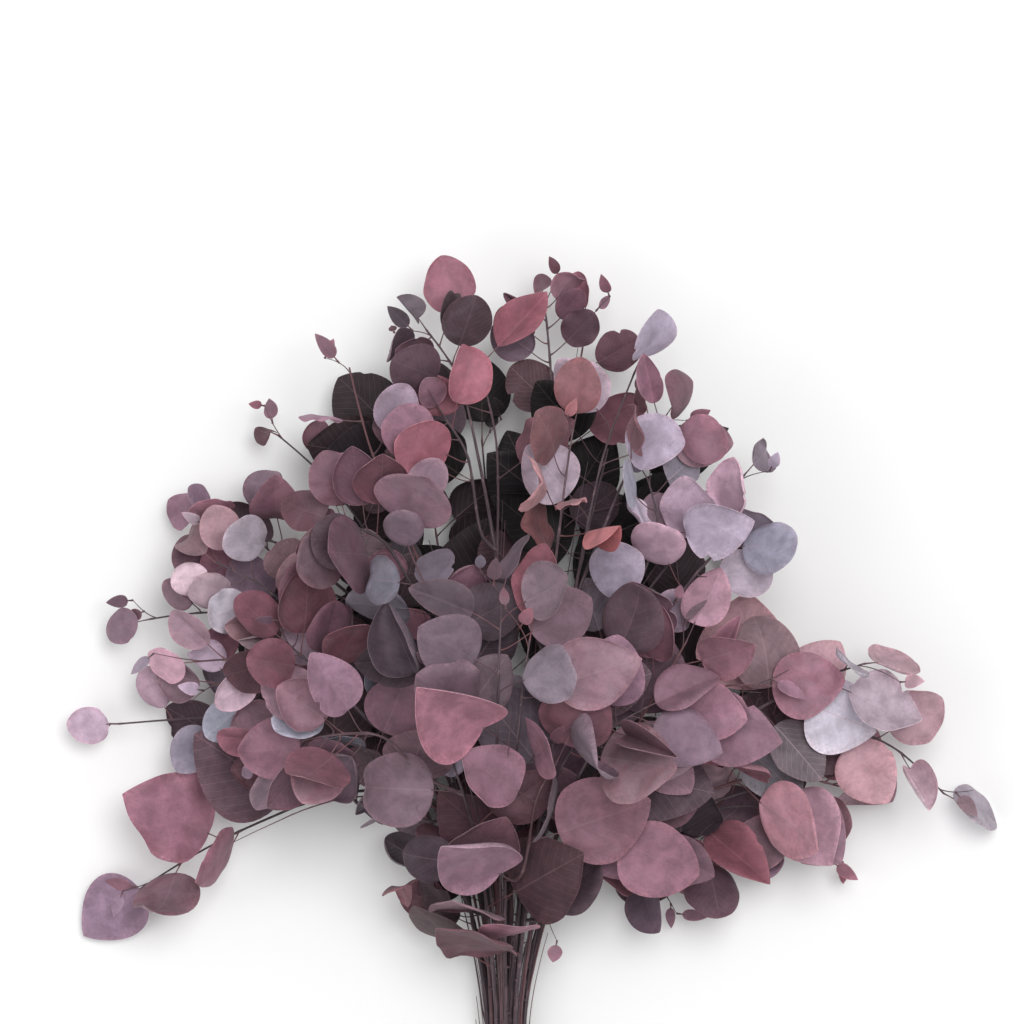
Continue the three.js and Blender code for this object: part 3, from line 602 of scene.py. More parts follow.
def sheet(rows, columns):
    u, v = grid(rows, columns)
    index = np.arange((rows + 1) * (columns + 1)).reshape(rows + 1, columns + 1)
    rim = np.concatenate([index[:-1, 0], index[-1, :-1], index[:0:-1, -1], index[0, :0:-1]])
    return {"u": u, "v": v, "faces": grid_faces(rows, columns), "rim": rim}


FINE = sheet(22, 18)
SMALL = sheet(10, 8)


def leaf_faces(grain, count):
    """Upper, under and rim faces of a leaf that has count points on each side."""
    upper = [tuple(face) for face in grain["faces"]]
    under = [tuple(face[::-1] + count) for face in grain["faces"]]
    around = zip(grain["rim"], np.roll(grain["rim"], -1))
    return upper, under + [(b, a, a + count, b + count) for a, b in around]


def add_leaf(builder, leaf, tint, grain):
    u, v = grain["u"], grain["v"]
    middle = leaf_surface(leaf, leaf["habit"], u, v)
    normal = np.cross(np.gradient(middle, axis=0), np.gradient(middle, axis=1))
    normal /= np.linalg.norm(normal, axis=2)[..., None] + 1e-12
    rib = np.exp(-(v / RIB_WIDTH) ** 2) * (1 - u) ** 0.6
    half_thickness = LEAF_THICKNESS / 2 * (1 - MARGIN_THINNING * np.abs(v) ** 3)
    upper = middle + normal * (half_thickness - GROOVE_DEPTH * rib)[..., None]
    under = middle - normal * (half_thickness + RIB_HEIGHT * rib)[..., None]
    points = np.vstack([upper.reshape(-1, 3), under.reshape(-1, 3)])
    top_faces, other_faces = leaf_faces(grain, len(points) // 2)
    materials = [UPPER] * len(top_faces) + [UNDER] * len(other_faces)
    half_width = outline_share(u, leaf["habit"]["pointed"]) * leaf["width"] / 2 / leaf["length"]
    place = np.stack([u, 0.5 + v * half_width], axis=-1).reshape(-1, 2)
    rim = np.maximum(np.abs(v) ** 7, u ** 12).ravel()
    builder.add(points, top_faces + other_faces, materials, np.tile(place, (2, 1)), tint, np.tile(rim, 2))


# %% [markdown]
# A leaf stalk is a thin tube that leaves the wood in the direction of the CAD stalk and runs on
# smoothly into the blade. A cubic curve with a direction at each end does both, and gives the
# stalk its slight bow. It is thickest where it grows out of the wood.

# %% A leaf stalk
STALK_SIDES = 8
STALK_STATIONS = 12
STALK_BOW = 0.9
STALK_INSET = 1.5 * MM
SHORTEST_STALK = 0.3 * MM


def bowed_line(first, leaving, last, arriving):
    """A smooth curve that sets out from first along leaving, and ends at last along arriving."""
    t = np.linspace(0, 1, STALK_STATIONS)[:, None]
    return ((2 * t ** 3 - 3 * t ** 2 + 1) * first + (t ** 3 - 2 * t ** 2 + t) * leaving
            + (-2 * t ** 3 + 3 * t ** 2) * last + (t ** 3 - t ** 2) * arriving)


def add_stalk(builder, leaf, tint):
    """From the middle of the wood at the leaf's root to the base of its blade."""
    root, base, along = leaf["root"], leaf["base"], leaf["along"]
    span = np.linalg.norm(base - root)
    has_foot = np.linalg.norm(leaf["foot"] - root) > SHORTEST_STALK
    out = unit((leaf["foot"] if has_foot else base) - root)
    path = bowed_line(root, out * span * STALK_BOW, base + along * STALK_INSET, along * span * STALK_BOW)
    t = np.linspace(0, 1, STALK_STATIONS)
    swell = 0.9 * np.exp(-t * span / (2.2 * MM))
    rings = tube_rings(path, STALK_RADIUS * (0.95 + swell - 0.12 * np.sin(np.pi * t)), STALK_SIDES)
    faces = tube_faces(STALK_STATIONS, STALK_SIDES)
    around = np.tile(np.arange(STALK_SIDES) / STALK_SIDES, STALK_STATIONS)
    place = np.stack([np.repeat(t, STALK_SIDES), around], axis=-1)
    builder.add(rings.reshape(-1, 3), faces, [STALK] * len(faces), place, tint)


# %% [markdown]
# The dye gives each branch its own tone, and each shoot of it takes the dye a little
# differently. Colours are linear red, green and blue. The underside of a leaf is paler and
# greyer than its top, because the dye sits under a waxy bloom there. The near-black deep tone
# is no dye: it is painted shade for the leaves that lie low inside the bunch.

# %% Tones of the dye, and a near-black tone of painted shade
TONES = {
    "rose": {"upper": (0.220, 0.105, 0.140), "under": (0.313, 0.184, 0.228)},
    "mauve": {"upper": (0.226, 0.122, 0.166), "under": (0.296, 0.184, 0.232)},
    "silver": {"upper": (0.400, 0.320, 0.402), "under": (0.500, 0.420, 0.502)},
    "pale": {"upper": (0.385, 0.278, 0.318), "under": (0.490, 0.378, 0.424)},
    "red": {"upper": (0.256, 0.100, 0.132), "under": (0.331, 0.161, 0.196)},
    "wine": {"upper": (0.109, 0.047, 0.067), "under": (0.191, 0.105, 0.136)},
    "plum": {"upper": (0.079, 0.042, 0.057), "under": (0.151, 0.092, 0.117)},
    "slate": {"upper": (0.116, 0.086, 0.113), "under": (0.183, 0.143, 0.175)},
    "coral": {"upper": (0.273, 0.109, 0.121), "under": (0.336, 0.171, 0.182)},
    # deep is no dye: a near-black tone of painted shade for leaves low inside the bunch
    "deep": {"upper": (0.013, 0.008, 0.011), "under": (0.034, 0.024, 0.029)},
}
SHOOT_TONES = {
    "front_left": ("rose", "mauve"),
    "front_centre": ("rose", "slate"),
    "front_right": ("rose", "mauve"),
    "upper_silver": ("mauve", "wine"),
    "upper_left": ("slate", "wine"),
    "upper_right": ("coral", "rose"),
    "upper_rose": ("rose", "mauve"),
    "middle_top": ("plum", "rose"),
    "middle_right": ("silver", "silver"),
    "wide_right": ("rose", "pale"),
    "middle_left": ("silver", "pale"),
    "wide_left": ("red", "mauve"),
    "low_left_far": ("red", "mauve"),
    "low_left_top": ("pale", "mauve"),
    # low_right_top, floor_left and floor_centre lie lowest in the bunch; their deep leaves are painted
    # shade
    "low_right_top": ("deep", "wine"),
    "low_right_side": ("mauve", "mauve"),
    "floor_left": ("deep", "plum"),
    "floor_centre": ("deep", "plum"),
    "floor_right": ("mauve", "plum"),
}
lead_slot = {row["node"]: row["material_slot"] for row in frame["record"]["subparts"]}
print(len(TONES), "tones for", len(SHOOT_TONES), "branches")

# %% [markdown]
# Materials are made of nodes. A few helpers that add one node, feed it and hand back its output
# let a whole node tree read like a calculation. Every input takes a socket or a plain value.

# %% Small helpers for node trees
COLOUR, NUMBER, PLACE = "NodeSocketColor", "NodeSocketFloat", "NodeSocketVector"


def new_node(tree, kind, **settings):
    node = tree.nodes.new(kind)
    for name, value in settings.items():
        setattr(node, name, value)
    return node


def feed(tree, socket, value):
    """Links a socket to value if it is a socket too, or else sets it."""
    if isinstance(value, bpy.types.NodeSocket):
        tree.links.new(value, socket)
    elif isinstance(value, (tuple, list)) and len(value) == 3 and socket.type == "RGBA":
        socket.default_value = (*value, 1.0)
    else:
        socket.default_value = value


def maths(tree, operation, first, second=None, third=None):
    node = new_node(tree, "ShaderNodeMath", operation=operation)
    for socket, value in zip(node.inputs, (first, second, third)):
        if value is not None:
            feed(tree, socket, value)
    return node.outputs[0]


def times(tree, first, second):
    return maths(tree, "MULTIPLY", first, second)


def times_plus(tree, value, factor, extra):
    return maths(tree, "MULTIPLY_ADD", value, factor, extra)


def blend_colour(tree, share, first, second, kind="MIX"):
    node = new_node(tree, "ShaderNodeMix", data_type="RGBA", blend_type=kind, clamp_factor=True)
    feed(tree, node.inputs[0], share)
    feed(tree, node.inputs[6], first)
    feed(tree, node.inputs[7], second)
    return node.outputs[2]


def dyed_with(tree, colour, dye):
    """A colour seen through a dye: the two multiplied."""
    return blend_colour(tree, 1.0, colour, dye, "MULTIPLY")


def noise(tree, place, scale, detail=3.0, roughness=0.5, distortion=0.0):
    node = new_node(tree, "ShaderNodeTexNoise")
    feed(tree, node.inputs["Vector"], place)
    node.inputs["Scale"].default_value = scale
    node.inputs["Detail"].default_value = detail
    node.inputs["Roughness"].default_value = roughness
    node.inputs["Distortion"].default_value = distortion
    return node.outputs["Fac"]


def ramp(tree, value, low, high, start=0.0, end=1.0):
    """Maps value from low..high to start..end with a soft step at both ends."""
    node = new_node(tree, "ShaderNodeMapRange", interpolation_type="SMOOTHSTEP")
    for socket, given in zip(node.inputs, (value, low, high, start, end)):
        feed(tree, socket, given)
    return node.outputs[0]


def new_group(name, inputs, outputs):
    """A node group, the values given to it, and the sockets it puts out."""
    group = bpy.data.node_groups.new(name, "ShaderNodeTree")
    for label, kind, value in inputs:
        socket = group.interface.new_socket(label, in_out="INPUT", socket_type=kind)
        if value is not None:
            socket.default_value = (*value, 1.0) if kind == COLOUR else value
    for label, kind in outputs:
        group.interface.new_socket(label, in_out="OUTPUT", socket_type=kind)
    given = new_node(group, "NodeGroupInput").outputs
    return group, given, new_node(group, "NodeGroupOutput").inputs


def split_tint(tree, tint):
    """Bloom, lightness with painted shade, and warmth, which the red, green and blue of a tint carry."""
    node = new_node(tree, "ShaderNodeSeparateColor")
    feed(tree, node.inputs[0], tint)
    return node.outputs[:3]


# %% [markdown]
# Three things pattern a preserved leaf: its veins, the uneven dye, and the waxy bloom. Every
# leaf material shares them, so they are node groups: one for the veins, and one for the dye with
# its bloom. The veins are drawn in the leaf's own place (u along the midrib, v across), so they
# follow the leaf wherever it bends.

# %% Veins of a leaf
MIDRIB_FOOT = 0.016
MIDRIB_TAPER = -0.010
VEIN_SLANT = -0.85
VEIN_BOW = -0.5
FINE_VEINS = 3.0


def from_line(tree, phase):
    """Distance from the nearest of the evenly spaced lines that a phase counts, 0 to 0.5."""
    return maths(tree, "ABSOLUTE", maths(tree, "SUBTRACT", maths(tree, "FRACT", phase), 0.5))


def make_vein_group():
    group, given, out = new_group(
        "leaf veins",
        [("Leaf Place", PLACE, None), ("Side Veins", NUMBER, 9.0), ("Wander", NUMBER, 0.5)],
        [("Midrib", NUMBER), ("Veins", NUMBER)],
    )
    parts = new_node(group, "ShaderNodeSeparateXYZ")
    feed(group, parts.inputs[0], given["Leaf Place"])
    u = parts.outputs[0]
    v = maths(group, "ABSOLUTE", maths(group, "SUBTRACT", parts.outputs[1], 0.5))
    midrib_width = times_plus(group, u, MIDRIB_TAPER, MIDRIB_FOOT)
    midrib = ramp(group, maths(group, "DIVIDE", v, midrib_width), 1.0, 0.3)
    wander = noise(group, given["Leaf Place"], scale=7.0, detail=2.0)
    slanted = times_plus(group, v, VEIN_SLANT, u)
    curved = times_plus(group, times(group, v, v), VEIN_BOW, slanted)
    shift = times(group, wander, given["Wander"])
    phase = times_plus(group, curved, given["Side Veins"], shift)
    side = ramp(group, from_line(group, phase), 0.10, 0.02)
    fine = ramp(group, from_line(group, times(group, phase, FINE_VEINS)), 0.16, 0.04)
    feed(group, out["Midrib"], midrib)
    feed(group, out["Veins"], maths(group, "MAXIMUM", side, times(group, fine, 0.35)))
    return group


vein_group = make_vein_group()
print("node group:", vein_group.name)

# %% [markdown]
# Dye sinks unevenly into a dried leaf, so it is blotched and streaked by the fibres, and it
# leans a little warm or cool from leaf to leaf. The waxy bloom lies over it in patches. Some
# dry specks are darker, and the frayed rim is paler. The tint also carries painted shade, which
# darkens the dye and thins the bloom on leaves deep in the bunch. Each step is one short function.

# %% Uneven dye and bloom, with painted shade
WARM, COOL = (1.21, 0.88, 0.88), (0.86, 1.04, 1.08)
DRY_SPECK = (0.45, 0.36, 0.38)
FRAYED = (1.55, 1.35, 1.30)


def grey(tree, value):
    node = new_node(tree, "ShaderNodeCombineColor")
    for socket in node.inputs[:3]:
        feed(tree, socket, value)
    return node.outputs[0]


def uneven_dye_and_shade(group, given, blotch, fibre, veined):
    _, paleness_and_shade, warmth = split_tint(group, given["Tint"])
    depth = times_plus(group, ramp(group, blotch, 0.3, 0.72), 0.42, 0.80)
    depth = times(group, depth, times_plus(group, fibre, 0.36, 0.82))
    # the tint's lightness darkens the dye, partly at random and partly as painted shade
    depth = times(group, depth, times_plus(group, paleness_and_shade, 1.25, 0.22))
    dyed_and_shaded = dyed_with(group, given["Dye"], grey(group, depth))
    warm, cool = dyed_with(group, dyed_and_shaded, WARM), dyed_with(group, dyed_and_shaded, COOL)
    dyed_and_shaded = blend_colour(group, warmth, cool, warm)
    return blend_colour(group, times(group, veined, given["Vein Share"]), dyed_and_shaded, given["Vein Colour"])


def bloom_cover(group, given, grain):
    """How much of the bloom lies on each spot, from 0 to 1."""
    # the tint's bloom is thinner on leaves deep in the bunch, as painted shade
    bloom = split_tint(group, given["Tint"])[0]
    patch = noise(group, given["Table Place"], scale=48.0, detail=4.0, roughness=0.6, distortion=0.8)
    cover = times_plus(group, ramp(group, patch, 0.38, 0.66), 0.75, 0.25)
    cover = times(group, cover, times(group, bloom, given["Bloom Share"]))
    return times(group, cover, times_plus(group, grain, 0.5, 0.72))


def weathered(group, given, colour, fibre):
    speck = noise(group, given["Table Place"], scale=190.0, detail=4.0, roughness=0.65, distortion=1.2)
    dry = times(group, ramp(group, speck, 0.63, 0.72), 0.35)
    colour = blend_colour(group, dry, colour, dyed_with(group, colour, DRY_SPECK))
    frayed = times(group, given["Rim"], ramp(group, fibre, 0.35, 0.65))
    return blend_colour(group, times(group, frayed, 0.7), colour, dyed_with(group, colour, FRAYED))


def make_skin_group():
    group, given, out = new_group(
        "preserved leaf skin",
        [("Dye", COLOUR, (0.2, 0.1, 0.15)), ("Bloom", COLOUR, (0.5, 0.45, 0.52)),
         ("Table Place", PLACE, None), ("Tint", COLOUR, (0.5, 0.5, 0.5)),
         ("Midrib", NUMBER, 0.0), ("Veins", NUMBER, 0.0), ("Rim", NUMBER, 0.0),
         ("Vein Colour", COLOUR, (0.4, 0.3, 0.3)),
         ("Vein Share", NUMBER, 0.35), ("Bloom Share", NUMBER, 0.25)],
        [("Colour", COLOUR), ("Roughness", NUMBER), ("Height", NUMBER)],
    )
    place = given["Table Place"]
    blotch = noise(group, place, scale=85.0, detail=3.0, roughness=0.55, distortion=0.4)
    fibre = noise(group, place, scale=520.0, detail=3.0, roughness=0.6)
    grain = noise(group, place, scale=2400.0, detail=2.0, roughness=0.6)
    veined = maths(group, "MAXIMUM", given["Midrib"], times(group, given["Veins"], 0.45))
    bloom = bloom_cover(group, given, grain)
    dyed_and_shaded = uneven_dye_and_shade(group, given, blotch, fibre, veined)
    colour = blend_colour(group, bloom, dyed_and_shaded, given["Bloom"])
    feed(group, out["Colour"], weathered(group, given, colour, fibre))
    rough = times_plus(group, blotch, -0.16, 0.74)
    feed(group, out["Roughness"], times_plus(group, bloom, 0.25, rough))
    height = times_plus(group, veined, 0.55, times(group, fibre, 0.5))
    feed(group, out["Height"], times_plus(group, grain, 0.22, height))
    return group


skin_group = make_skin_group()
print("node group:", skin_group.name)

# %% [markdown]
# Each tone needs two materials, because the upper and the under face differ in colour, in bloom
# and in how far the veins show. Preserved leaves are matte, with only a weak, broad gloss and a
# trace of sheen from their fine fuzz. The shader itself stays in each material.

# %% Materials of the leaves
def principled(name):
    material = bpy.data.materials.new(name)
    material.use_nodes = True
    tree = material.node_tree
    return material, tree, tree.nodes["Principled BSDF"]


def place_group(tree, group, **values):
    node = new_node(tree, "ShaderNodeGroup", node_tree=group)
    for label, value in values.items():
        feed(tree, node.inputs[label.replace("_", " ")], value)
    return node


def surface_values(tree):
    """The place on the piece, the place on the table and the tint, which the groups read."""
    place = new_node(tree, "ShaderNodeUVMap", uv_map="Place").outputs[0]
    table = new_node(tree, "ShaderNodeTexCoord").outputs["Object"]
    tint = new_node(tree, "ShaderNodeAttribute", attribute_name="tint").outputs["Color"]
    return place, table, tint


def finish_shader(tree, shader, colour, roughness, height, strength, distance):
    feed(tree, shader.inputs["Base Color"], colour)
    feed(tree, shader.inputs["Roughness"], roughness)
    bump = new_node(tree, "ShaderNodeBump")
    bump.inputs["Strength"].default_value = strength
    bump.inputs["Distance"].default_value = distance
    feed(tree, bump.inputs["Height"], height)
    feed(tree, shader.inputs["Normal"], bump.outputs[0])


def mixed(first, second, share):
    return tuple(a * (1 - share) + b * share for a, b in zip(first, second))


BLOOM_COLOUR = (0.46, 0.40, 0.46)
VEIN_COLOUR = (0.50, 0.34, 0.34)


def leaf_skin(name, dye, bloom_share, vein_share):
    material, tree, shader = principled(name)
    place, table, tint = surface_values(tree)
    rim = new_node(tree, "ShaderNodeAttribute", attribute_name="rim").outputs["Fac"]
    veins = place_group(tree, vein_group, Leaf_Place=place).outputs
    skin = place_group(tree, skin_group, Dye=dye, Bloom=mixed(dye, BLOOM_COLOUR, 0.75),
                       Table_Place=table, Tint=tint, Rim=rim,
                       Midrib=veins["Midrib"], Veins=veins["Veins"],
                       Vein_Colour=mixed(dye, VEIN_COLOUR, 0.28),
                       Vein_Share=vein_share, Bloom_Share=bloom_share).outputs
    shader.inputs["Specular IOR Level"].default_value = 0.32
    shader.inputs["Sheen Weight"].default_value = 0.05
    shader.inputs["Sheen Roughness"].default_value = 0.55
    finish_shader(tree, shader, skin["Colour"], skin["Roughness"], skin["Height"],
                  strength=0.4, distance=0.4 * MM)
    return material


leaf_materials = {}
for tone, dye in TONES.items():
    top = leaf_skin(f"leaf {tone} top", dye["upper"], bloom_share=0.24, vein_share=0.30)
    underside = leaf_skin(f"leaf {tone} underside", dye["under"], bloom_share=0.40, vein_share=0.45)
    leaf_materials[tone] = (top, underside)
print(len(leaf_materials), "tones, each with a top and an underside")

# %% [markdown]
# The stems are thin, woody and dyed like the leaves. Their bark shows fine streaks along the
# stem and paler scuffs, and the cut ends show light wood. Bark streaks come from noise that is
# stretched along the stem's own length.

# %% Materials of the wood
STREAK_LENGTH = 2.2


def streaked(group, given):
    """Noise in the stem's own place, long along the stem and fine around it."""
    stretch = new_node(group, "ShaderNodeCombineXYZ")
    feed(group, stretch.inputs[0], STREAK_LENGTH)
    feed(group, stretch.inputs[1], given["Streaks"])
    squeeze = new_node(group, "ShaderNodeVectorMath", operation="MULTIPLY")
    feed(group, squeeze.inputs[0], given["Stem Place"])
    feed(group, squeeze.inputs[1], stretch.outputs[0])
    return noise(group, squeeze.outputs[0], scale=1.0, detail=4.0, roughness=0.62, distortion=0.6)


def make_bark_group():
    group, given, out = new_group(
        "dyed bark",
        [("Bark", COLOUR, (0.06, 0.04, 0.05)), ("Red Bark", COLOUR, (0.11, 0.04, 0.05)),
         ("Scuff", COLOUR, (0.2, 0.14, 0.15)), ("Streaks", NUMBER, 26.0),
         ("Stem Place", PLACE, None), ("Table Place", PLACE, None), ("Tint", COLOUR, (0.5, 0.5, 0.5))],
        [("Colour", COLOUR), ("Roughness", NUMBER), ("Height", NUMBER)],
    )
    bloom, _, warmth = split_tint(group, given["Tint"])
    streak = streaked(group, given)
    scuff = noise(group, given["Table Place"], scale=140.0, detail=4.0, roughness=0.6, distortion=0.5)
    grain = noise(group, given["Table Place"], scale=1900.0, detail=2.0)
    pale_streaks = times(group, ramp(group, streak, 0.42, 0.68), 0.55)
    pale_scuffs = times(group, ramp(group, scuff, 0.56, 0.70), 0.6)
    pale = maths(group, "MAXIMUM", pale_streaks, pale_scuffs)
    pale = times(group, pale, times_plus(group, bloom, 1.2, 0.25))
    redness = ramp(group, warmth, 0.45, 0.95)
    colour = blend_colour(group, redness, given["Bark"], given["Red Bark"])
    feed(group, out["Colour"], blend_colour(group, pale, colour, given["Scuff"]))
    feed(group, out["Roughness"], times_plus(group, streak, 0.25, 0.5))
    feed(group, out["Height"], times_plus(group, grain, 0.3, streak))
    return group


bark_group = make_bark_group()


def bark(name, base, red, scuff, streaks, sheen):
    material, tree, shader = principled(name)
    place, table, tint = surface_values(tree)
    made = place_group(tree, bark_group, Bark=base, Red_Bark=red, Scuff=scuff, Stem_Place=place,
                       Table_Place=table, Tint=tint, Streaks=streaks).outputs
    shader.inputs["Specular IOR Level"].default_value = 0.4
    shader.inputs["Sheen Weight"].default_value = sheen
    finish_shader(tree, shader, made["Colour"], made["Roughness"], made["Height"],
                  strength=0.4, distance=0.3 * MM)
    return material


stem_bark = bark("stem bark", base=(0.044, 0.031, 0.040), red=(0.120, 0.046, 0.054),
                 scuff=(0.245, 0.155, 0.175), streaks=9.0, sheen=0.05)
stalk_skin = bark("leaf stalk skin", base=(0.085, 0.045, 0.056), red=(0.150, 0.055, 0.064),
                  scuff=(0.260, 0.150, 0.160), streaks=4.0, sheen=0.05)
cut_wood = bark("cut wood", base=(0.340, 0.225, 0.180), red=(0.360, 0.200, 0.150),
                scuff=(0.480, 0.360, 0.290), streaks=3.0, sheen=0.0)
print("wood:", stem_bark.name, "/", stalk_skin.name, "/", cut_wood.name)

# %% [markdown]
# Every stem and shoot gets its fine path now, before any leaf is made, because the small parts
# below have to know where all the wood is. A shoot's first ring is buried in its stem, so the
# shoot's path starts on the middle of the stem. Each leaf belongs to the path nearest its foot.

# %% Paths of the wood, and the leaves that belong to each
FINE_STEP = 4 * MM
TIP_SLIMNESS = 0.55
FOOT_SWELL = 1.1
STRAIGHT_PULL = 0.6


def slender(radii):
    """A dried shoot is thinner toward its tip than the six-sided tube of the frame."""
    return radii * np.linspace(1.0, TIP_SLIMNESS, len(radii))


def start_on_stem(chain, stem_path):
    """The place on the stem that a shoot comes from, looking back along the shoot."""
    first, second = chain[0]["centre"], chain[1]["centre"]
    away = stem_path - first
    reach = np.linalg.norm(away, axis=1)
    straightness = away @ unit(first - second) / reach
    return stem_path[np.argmin(reach - STRAIGHT_PULL * reach * np.clip(straightness, 0, 1))]


def fine_path(centres, radii):
    path, fine_radii = smooth_path(centres, radii, FINE_STEP)
    return {"path": path, "radii": slender(fine_radii), "leaves": []}


def wood_of(branch):
    stem, *others = branch["tubes"]
    wood = [fine_path([ring["centre"] for ring in stem], [ring["radius"] for ring in stem])]
    shoots = sorted((tube for tube in others if len(tube) > 1), key=lambda tube: tube[0]["centre"][1])
    for shoot in shoots:
        start = start_on_stem(shoot, wood[0]["path"])
        centres = [start] + [ring["centre"] for ring in shoot]
        radii = [shoot[0]["radius"] * FOOT_SWELL] + [ring["radius"] for ring in shoot]
        wood.append(fine_path(centres, radii))
    return wood


for branch in branches.values():
    branch["wood"] = wood_of(branch)
    for leaf in branch["leaves"]:
        gaps = [np.min(np.linalg.norm(tube["path"] - leaf["foot"], axis=1)) for tube in branch["wood"]]
        home = branch["wood"][int(np.argmin(gaps))]
        leaf["root"] = home["path"][np.argmin(np.linalg.norm(home["path"] - leaf["foot"], axis=1))]
        home["leaves"].append(leaf)

tube_total = sum(len(branch["wood"]) for branch in branches.values())
print("the wood is", tube_total, "tubes")

# %% [markdown]
# A tube of wood swells a little wherever something grows out of it. The lower end of a stem is
# cut on a slant with garden shears, and the cut shows light wood.

# %% A tube of wood
STEM_SIDES = 14
SHOOT_SIDES = 10
TWIG_SIDES = 6
CUT_SLANT = math.radians(28)
KNOT_REACH = 2.6 * MM
KNOT_SWELL = 0.32
BARK_LENGTH = 30
BARK, CUT = 0, 1


def swollen(path, radii, knots):
    for knot in knots:
        away = np.linalg.norm(path - knot, axis=1)
        radii = radii * (1 + KNOT_SWELL * np.exp(-(away / KNOT_REACH) ** 2))
    return radii


def marks_along(path):
    return np.concatenate([[0], np.cumsum(np.linalg.norm(np.diff(path, axis=0), axis=1))])


def add_tube(builder, path, radii, sides, tint, slant=0.0):
    rings = tube_rings(path, radii, sides)
    back = unit(path[0] - path[1])
    rise = rings[0, :, 2] - path[0, 2]
    rings[0] += back * (rise * math.tan(slant))[:, None]
    faces = tube_faces(len(path), sides)
    start_end = CUT if slant else BARK
    materials = [BARK] * (len(faces) - 2) + [start_end, BARK]
    around = np.abs(np.arange(sides) / sides - 0.5) * 2
    along = np.repeat(marks_along(path) * BARK_LENGTH, sides)
    place = np.stack([along, np.tile(around, len(path))], axis=-1)
    builder.add(rings.reshape(-1, 3), faces, materials, place, tint)


# %% [markdown]
# Several small things show how a branch grew and how it was handled. Leaves stripped from the
# lower stem left short stubs. Thin side shoots without leaves leave a stem and run on beside
# it, and lower down they lie in the grooves between the stems. Every tip goes on in a hair-thin
# twig with a few young leaves. They are too fine to be solids of the frame, so they exist only
# here. Each is tried first, and taken only where it meets no wood, no leaf and not the band.

# %% What a fine twig must not meet
TWIG_GAP = 0.05 * MM
TABLE_GAP = 1 * MM


def tube_tree(line, radii):
    rings = tube_rings(line, radii, TWIG_SIDES)
    return tree_of(rings.reshape(-1, 3), tube_faces(len(line), TWIG_SIDES))


def is_in_the_open(line, radii):
    candidate = tube_tree(line, radii + TWIG_GAP)
    clears_table = candidate["low"][2] > TABLE_GAP
    return clears_table and is_free(candidate, wood_trees) and is_free(candidate, trees)


band_mesh = frame["nodes"]["elastic_band"].data
band_corners = np.array([corner.co for corner in band_mesh.vertices])
wood_trees = [tree_of(band_corners, [tuple(face.vertices) for face in band_mesh.polygons])]
for branch in branches.values():
    wood_trees += [tube_tree(tube["path"], tube["radii"]) for tube in branch["wood"]]
print("a fine twig must miss", len(wood_trees), "pieces of wood and", len(trees), "leaves")

# %% [markdown]
# A stub is a short cone across the stem. A side shoot starts on the middle of its stem, moves
# off to one side within a few centimetres, and then follows the stem while it thins to a hair.

# %% Stubs and side shoots
STUB_RADIUS = 0.55 * MM
STUB_LENGTH = 2.6 * MM
STUB_STEP = 17 * MM
STUB_SHAPE = np.array([1.7, 1.35, 1.0, 0.7])
BARE_LENGTH = 250 * MM
SIDE_SHOOTS = 5
SHOOT_TRIES = 60
SHOOT_STATIONS = 28
SHOOT_OFFSET = 3.45 * MM
SHOOT_LENGTHS = (110, 300)
SHOOT_DRIFTS = (0, 8)
SHOOT_RADII = (0.5, 1.0)
LEAVING_LENGTH = 16 * MM
HAIR_RADIUS = 0.2 * MM


def sideways(tangent):
    """A random direction square to the tangent."""
    way = rng.normal(size=3)
    return unit(way - (way @ tangent) * tangent)


def add_stubs(builder, tube, tint):
    path, marks = tube["path"], marks_along(tube["path"])
    place = STUB_STEP * rng.uniform(0.5, 1.5)
    while place < min(BARE_LENGTH, marks[-1] - STUB_STEP):
        n = int(np.searchsorted(marks, place))
        way = sideways(unit(path[n + 1] - path[n]))
        reach = tube["radii"][n] + STUB_LENGTH * rng.uniform(0.6, 1.0)
        line = path[n] + way * reach * np.linspace(0, 1, len(STUB_SHAPE))[:, None]
        radii = STUB_RADIUS * STUB_SHAPE
        if is_in_the_open(line[2:], radii[2:]):
            add_tube(builder, line, radii, TWIG_SIDES, tint)
        place += STUB_STEP * rng.uniform(0.7, 1.4)


def side_shoot(path, marks):
    """One try at a shoot: its line, its radii, and from which station it has left the stem."""
    start = rng.uniform(0, 0.75) ** 2 * marks[-1]
    length = min(rng.uniform(*SHOOT_LENGTHS) * MM, marks[-1] - start)
    t = np.linspace(0, 1, SHOOT_STATIONS)
    places = start + length * t
    beside = np.stack([np.interp(places, marks, path[:, k]) for k in range(3)], axis=1)
    way = sideways(unit(beside[-1] - beside[0]))
    leaving = np.minimum(t * length / LEAVING_LENGTH, 1)
    away = SHOOT_OFFSET * leaving + rng.uniform(*SHOOT_DRIFTS) * MM * t ** 2
    radii = np.linspace(rng.uniform(*SHOOT_RADII) * MM, HAIR_RADIUS, SHOOT_STATIONS)
    return beside + way * away[:, None], radii, int(np.argmax(leaving == 1))


def add_side_shoots(builder, tube):
    """Adds the first few tries that meet nothing, and says how many there are."""
    marks = marks_along(tube["path"])
    made = 0
    for _ in range(SHOOT_TRIES):
        line, radii, free = side_shoot(tube["path"], marks)
        if made < SIDE_SHOOTS and is_in_the_open(line[free:], radii[free:]):
            add_tube(builder, line, radii, TWIG_SIDES, paler(random_tint()))
            wood_trees.append(tube_tree(line, radii))
            made += 1
    return made


# %% [markdown]
# The growing tip of a branch carries its smallest leaves. The twig bows to one side, and its
# leaves stand left and right of it. They use the same sheet as the large leaves, with a longer
# point and a coarser grid.

# %% Young tips
TIP_STATIONS = 12
TIP_BURIED = 4
TIP_LENGTHS = (14, 24)
YOUNG_PLACES = (6, 11)
YOUNG_LENGTHS = (13, 21)
YOUNG_WIDTHS = (0.46, 0.62)
YOUNG_POINT = 0.9
YOUNG_DISH = 0.03


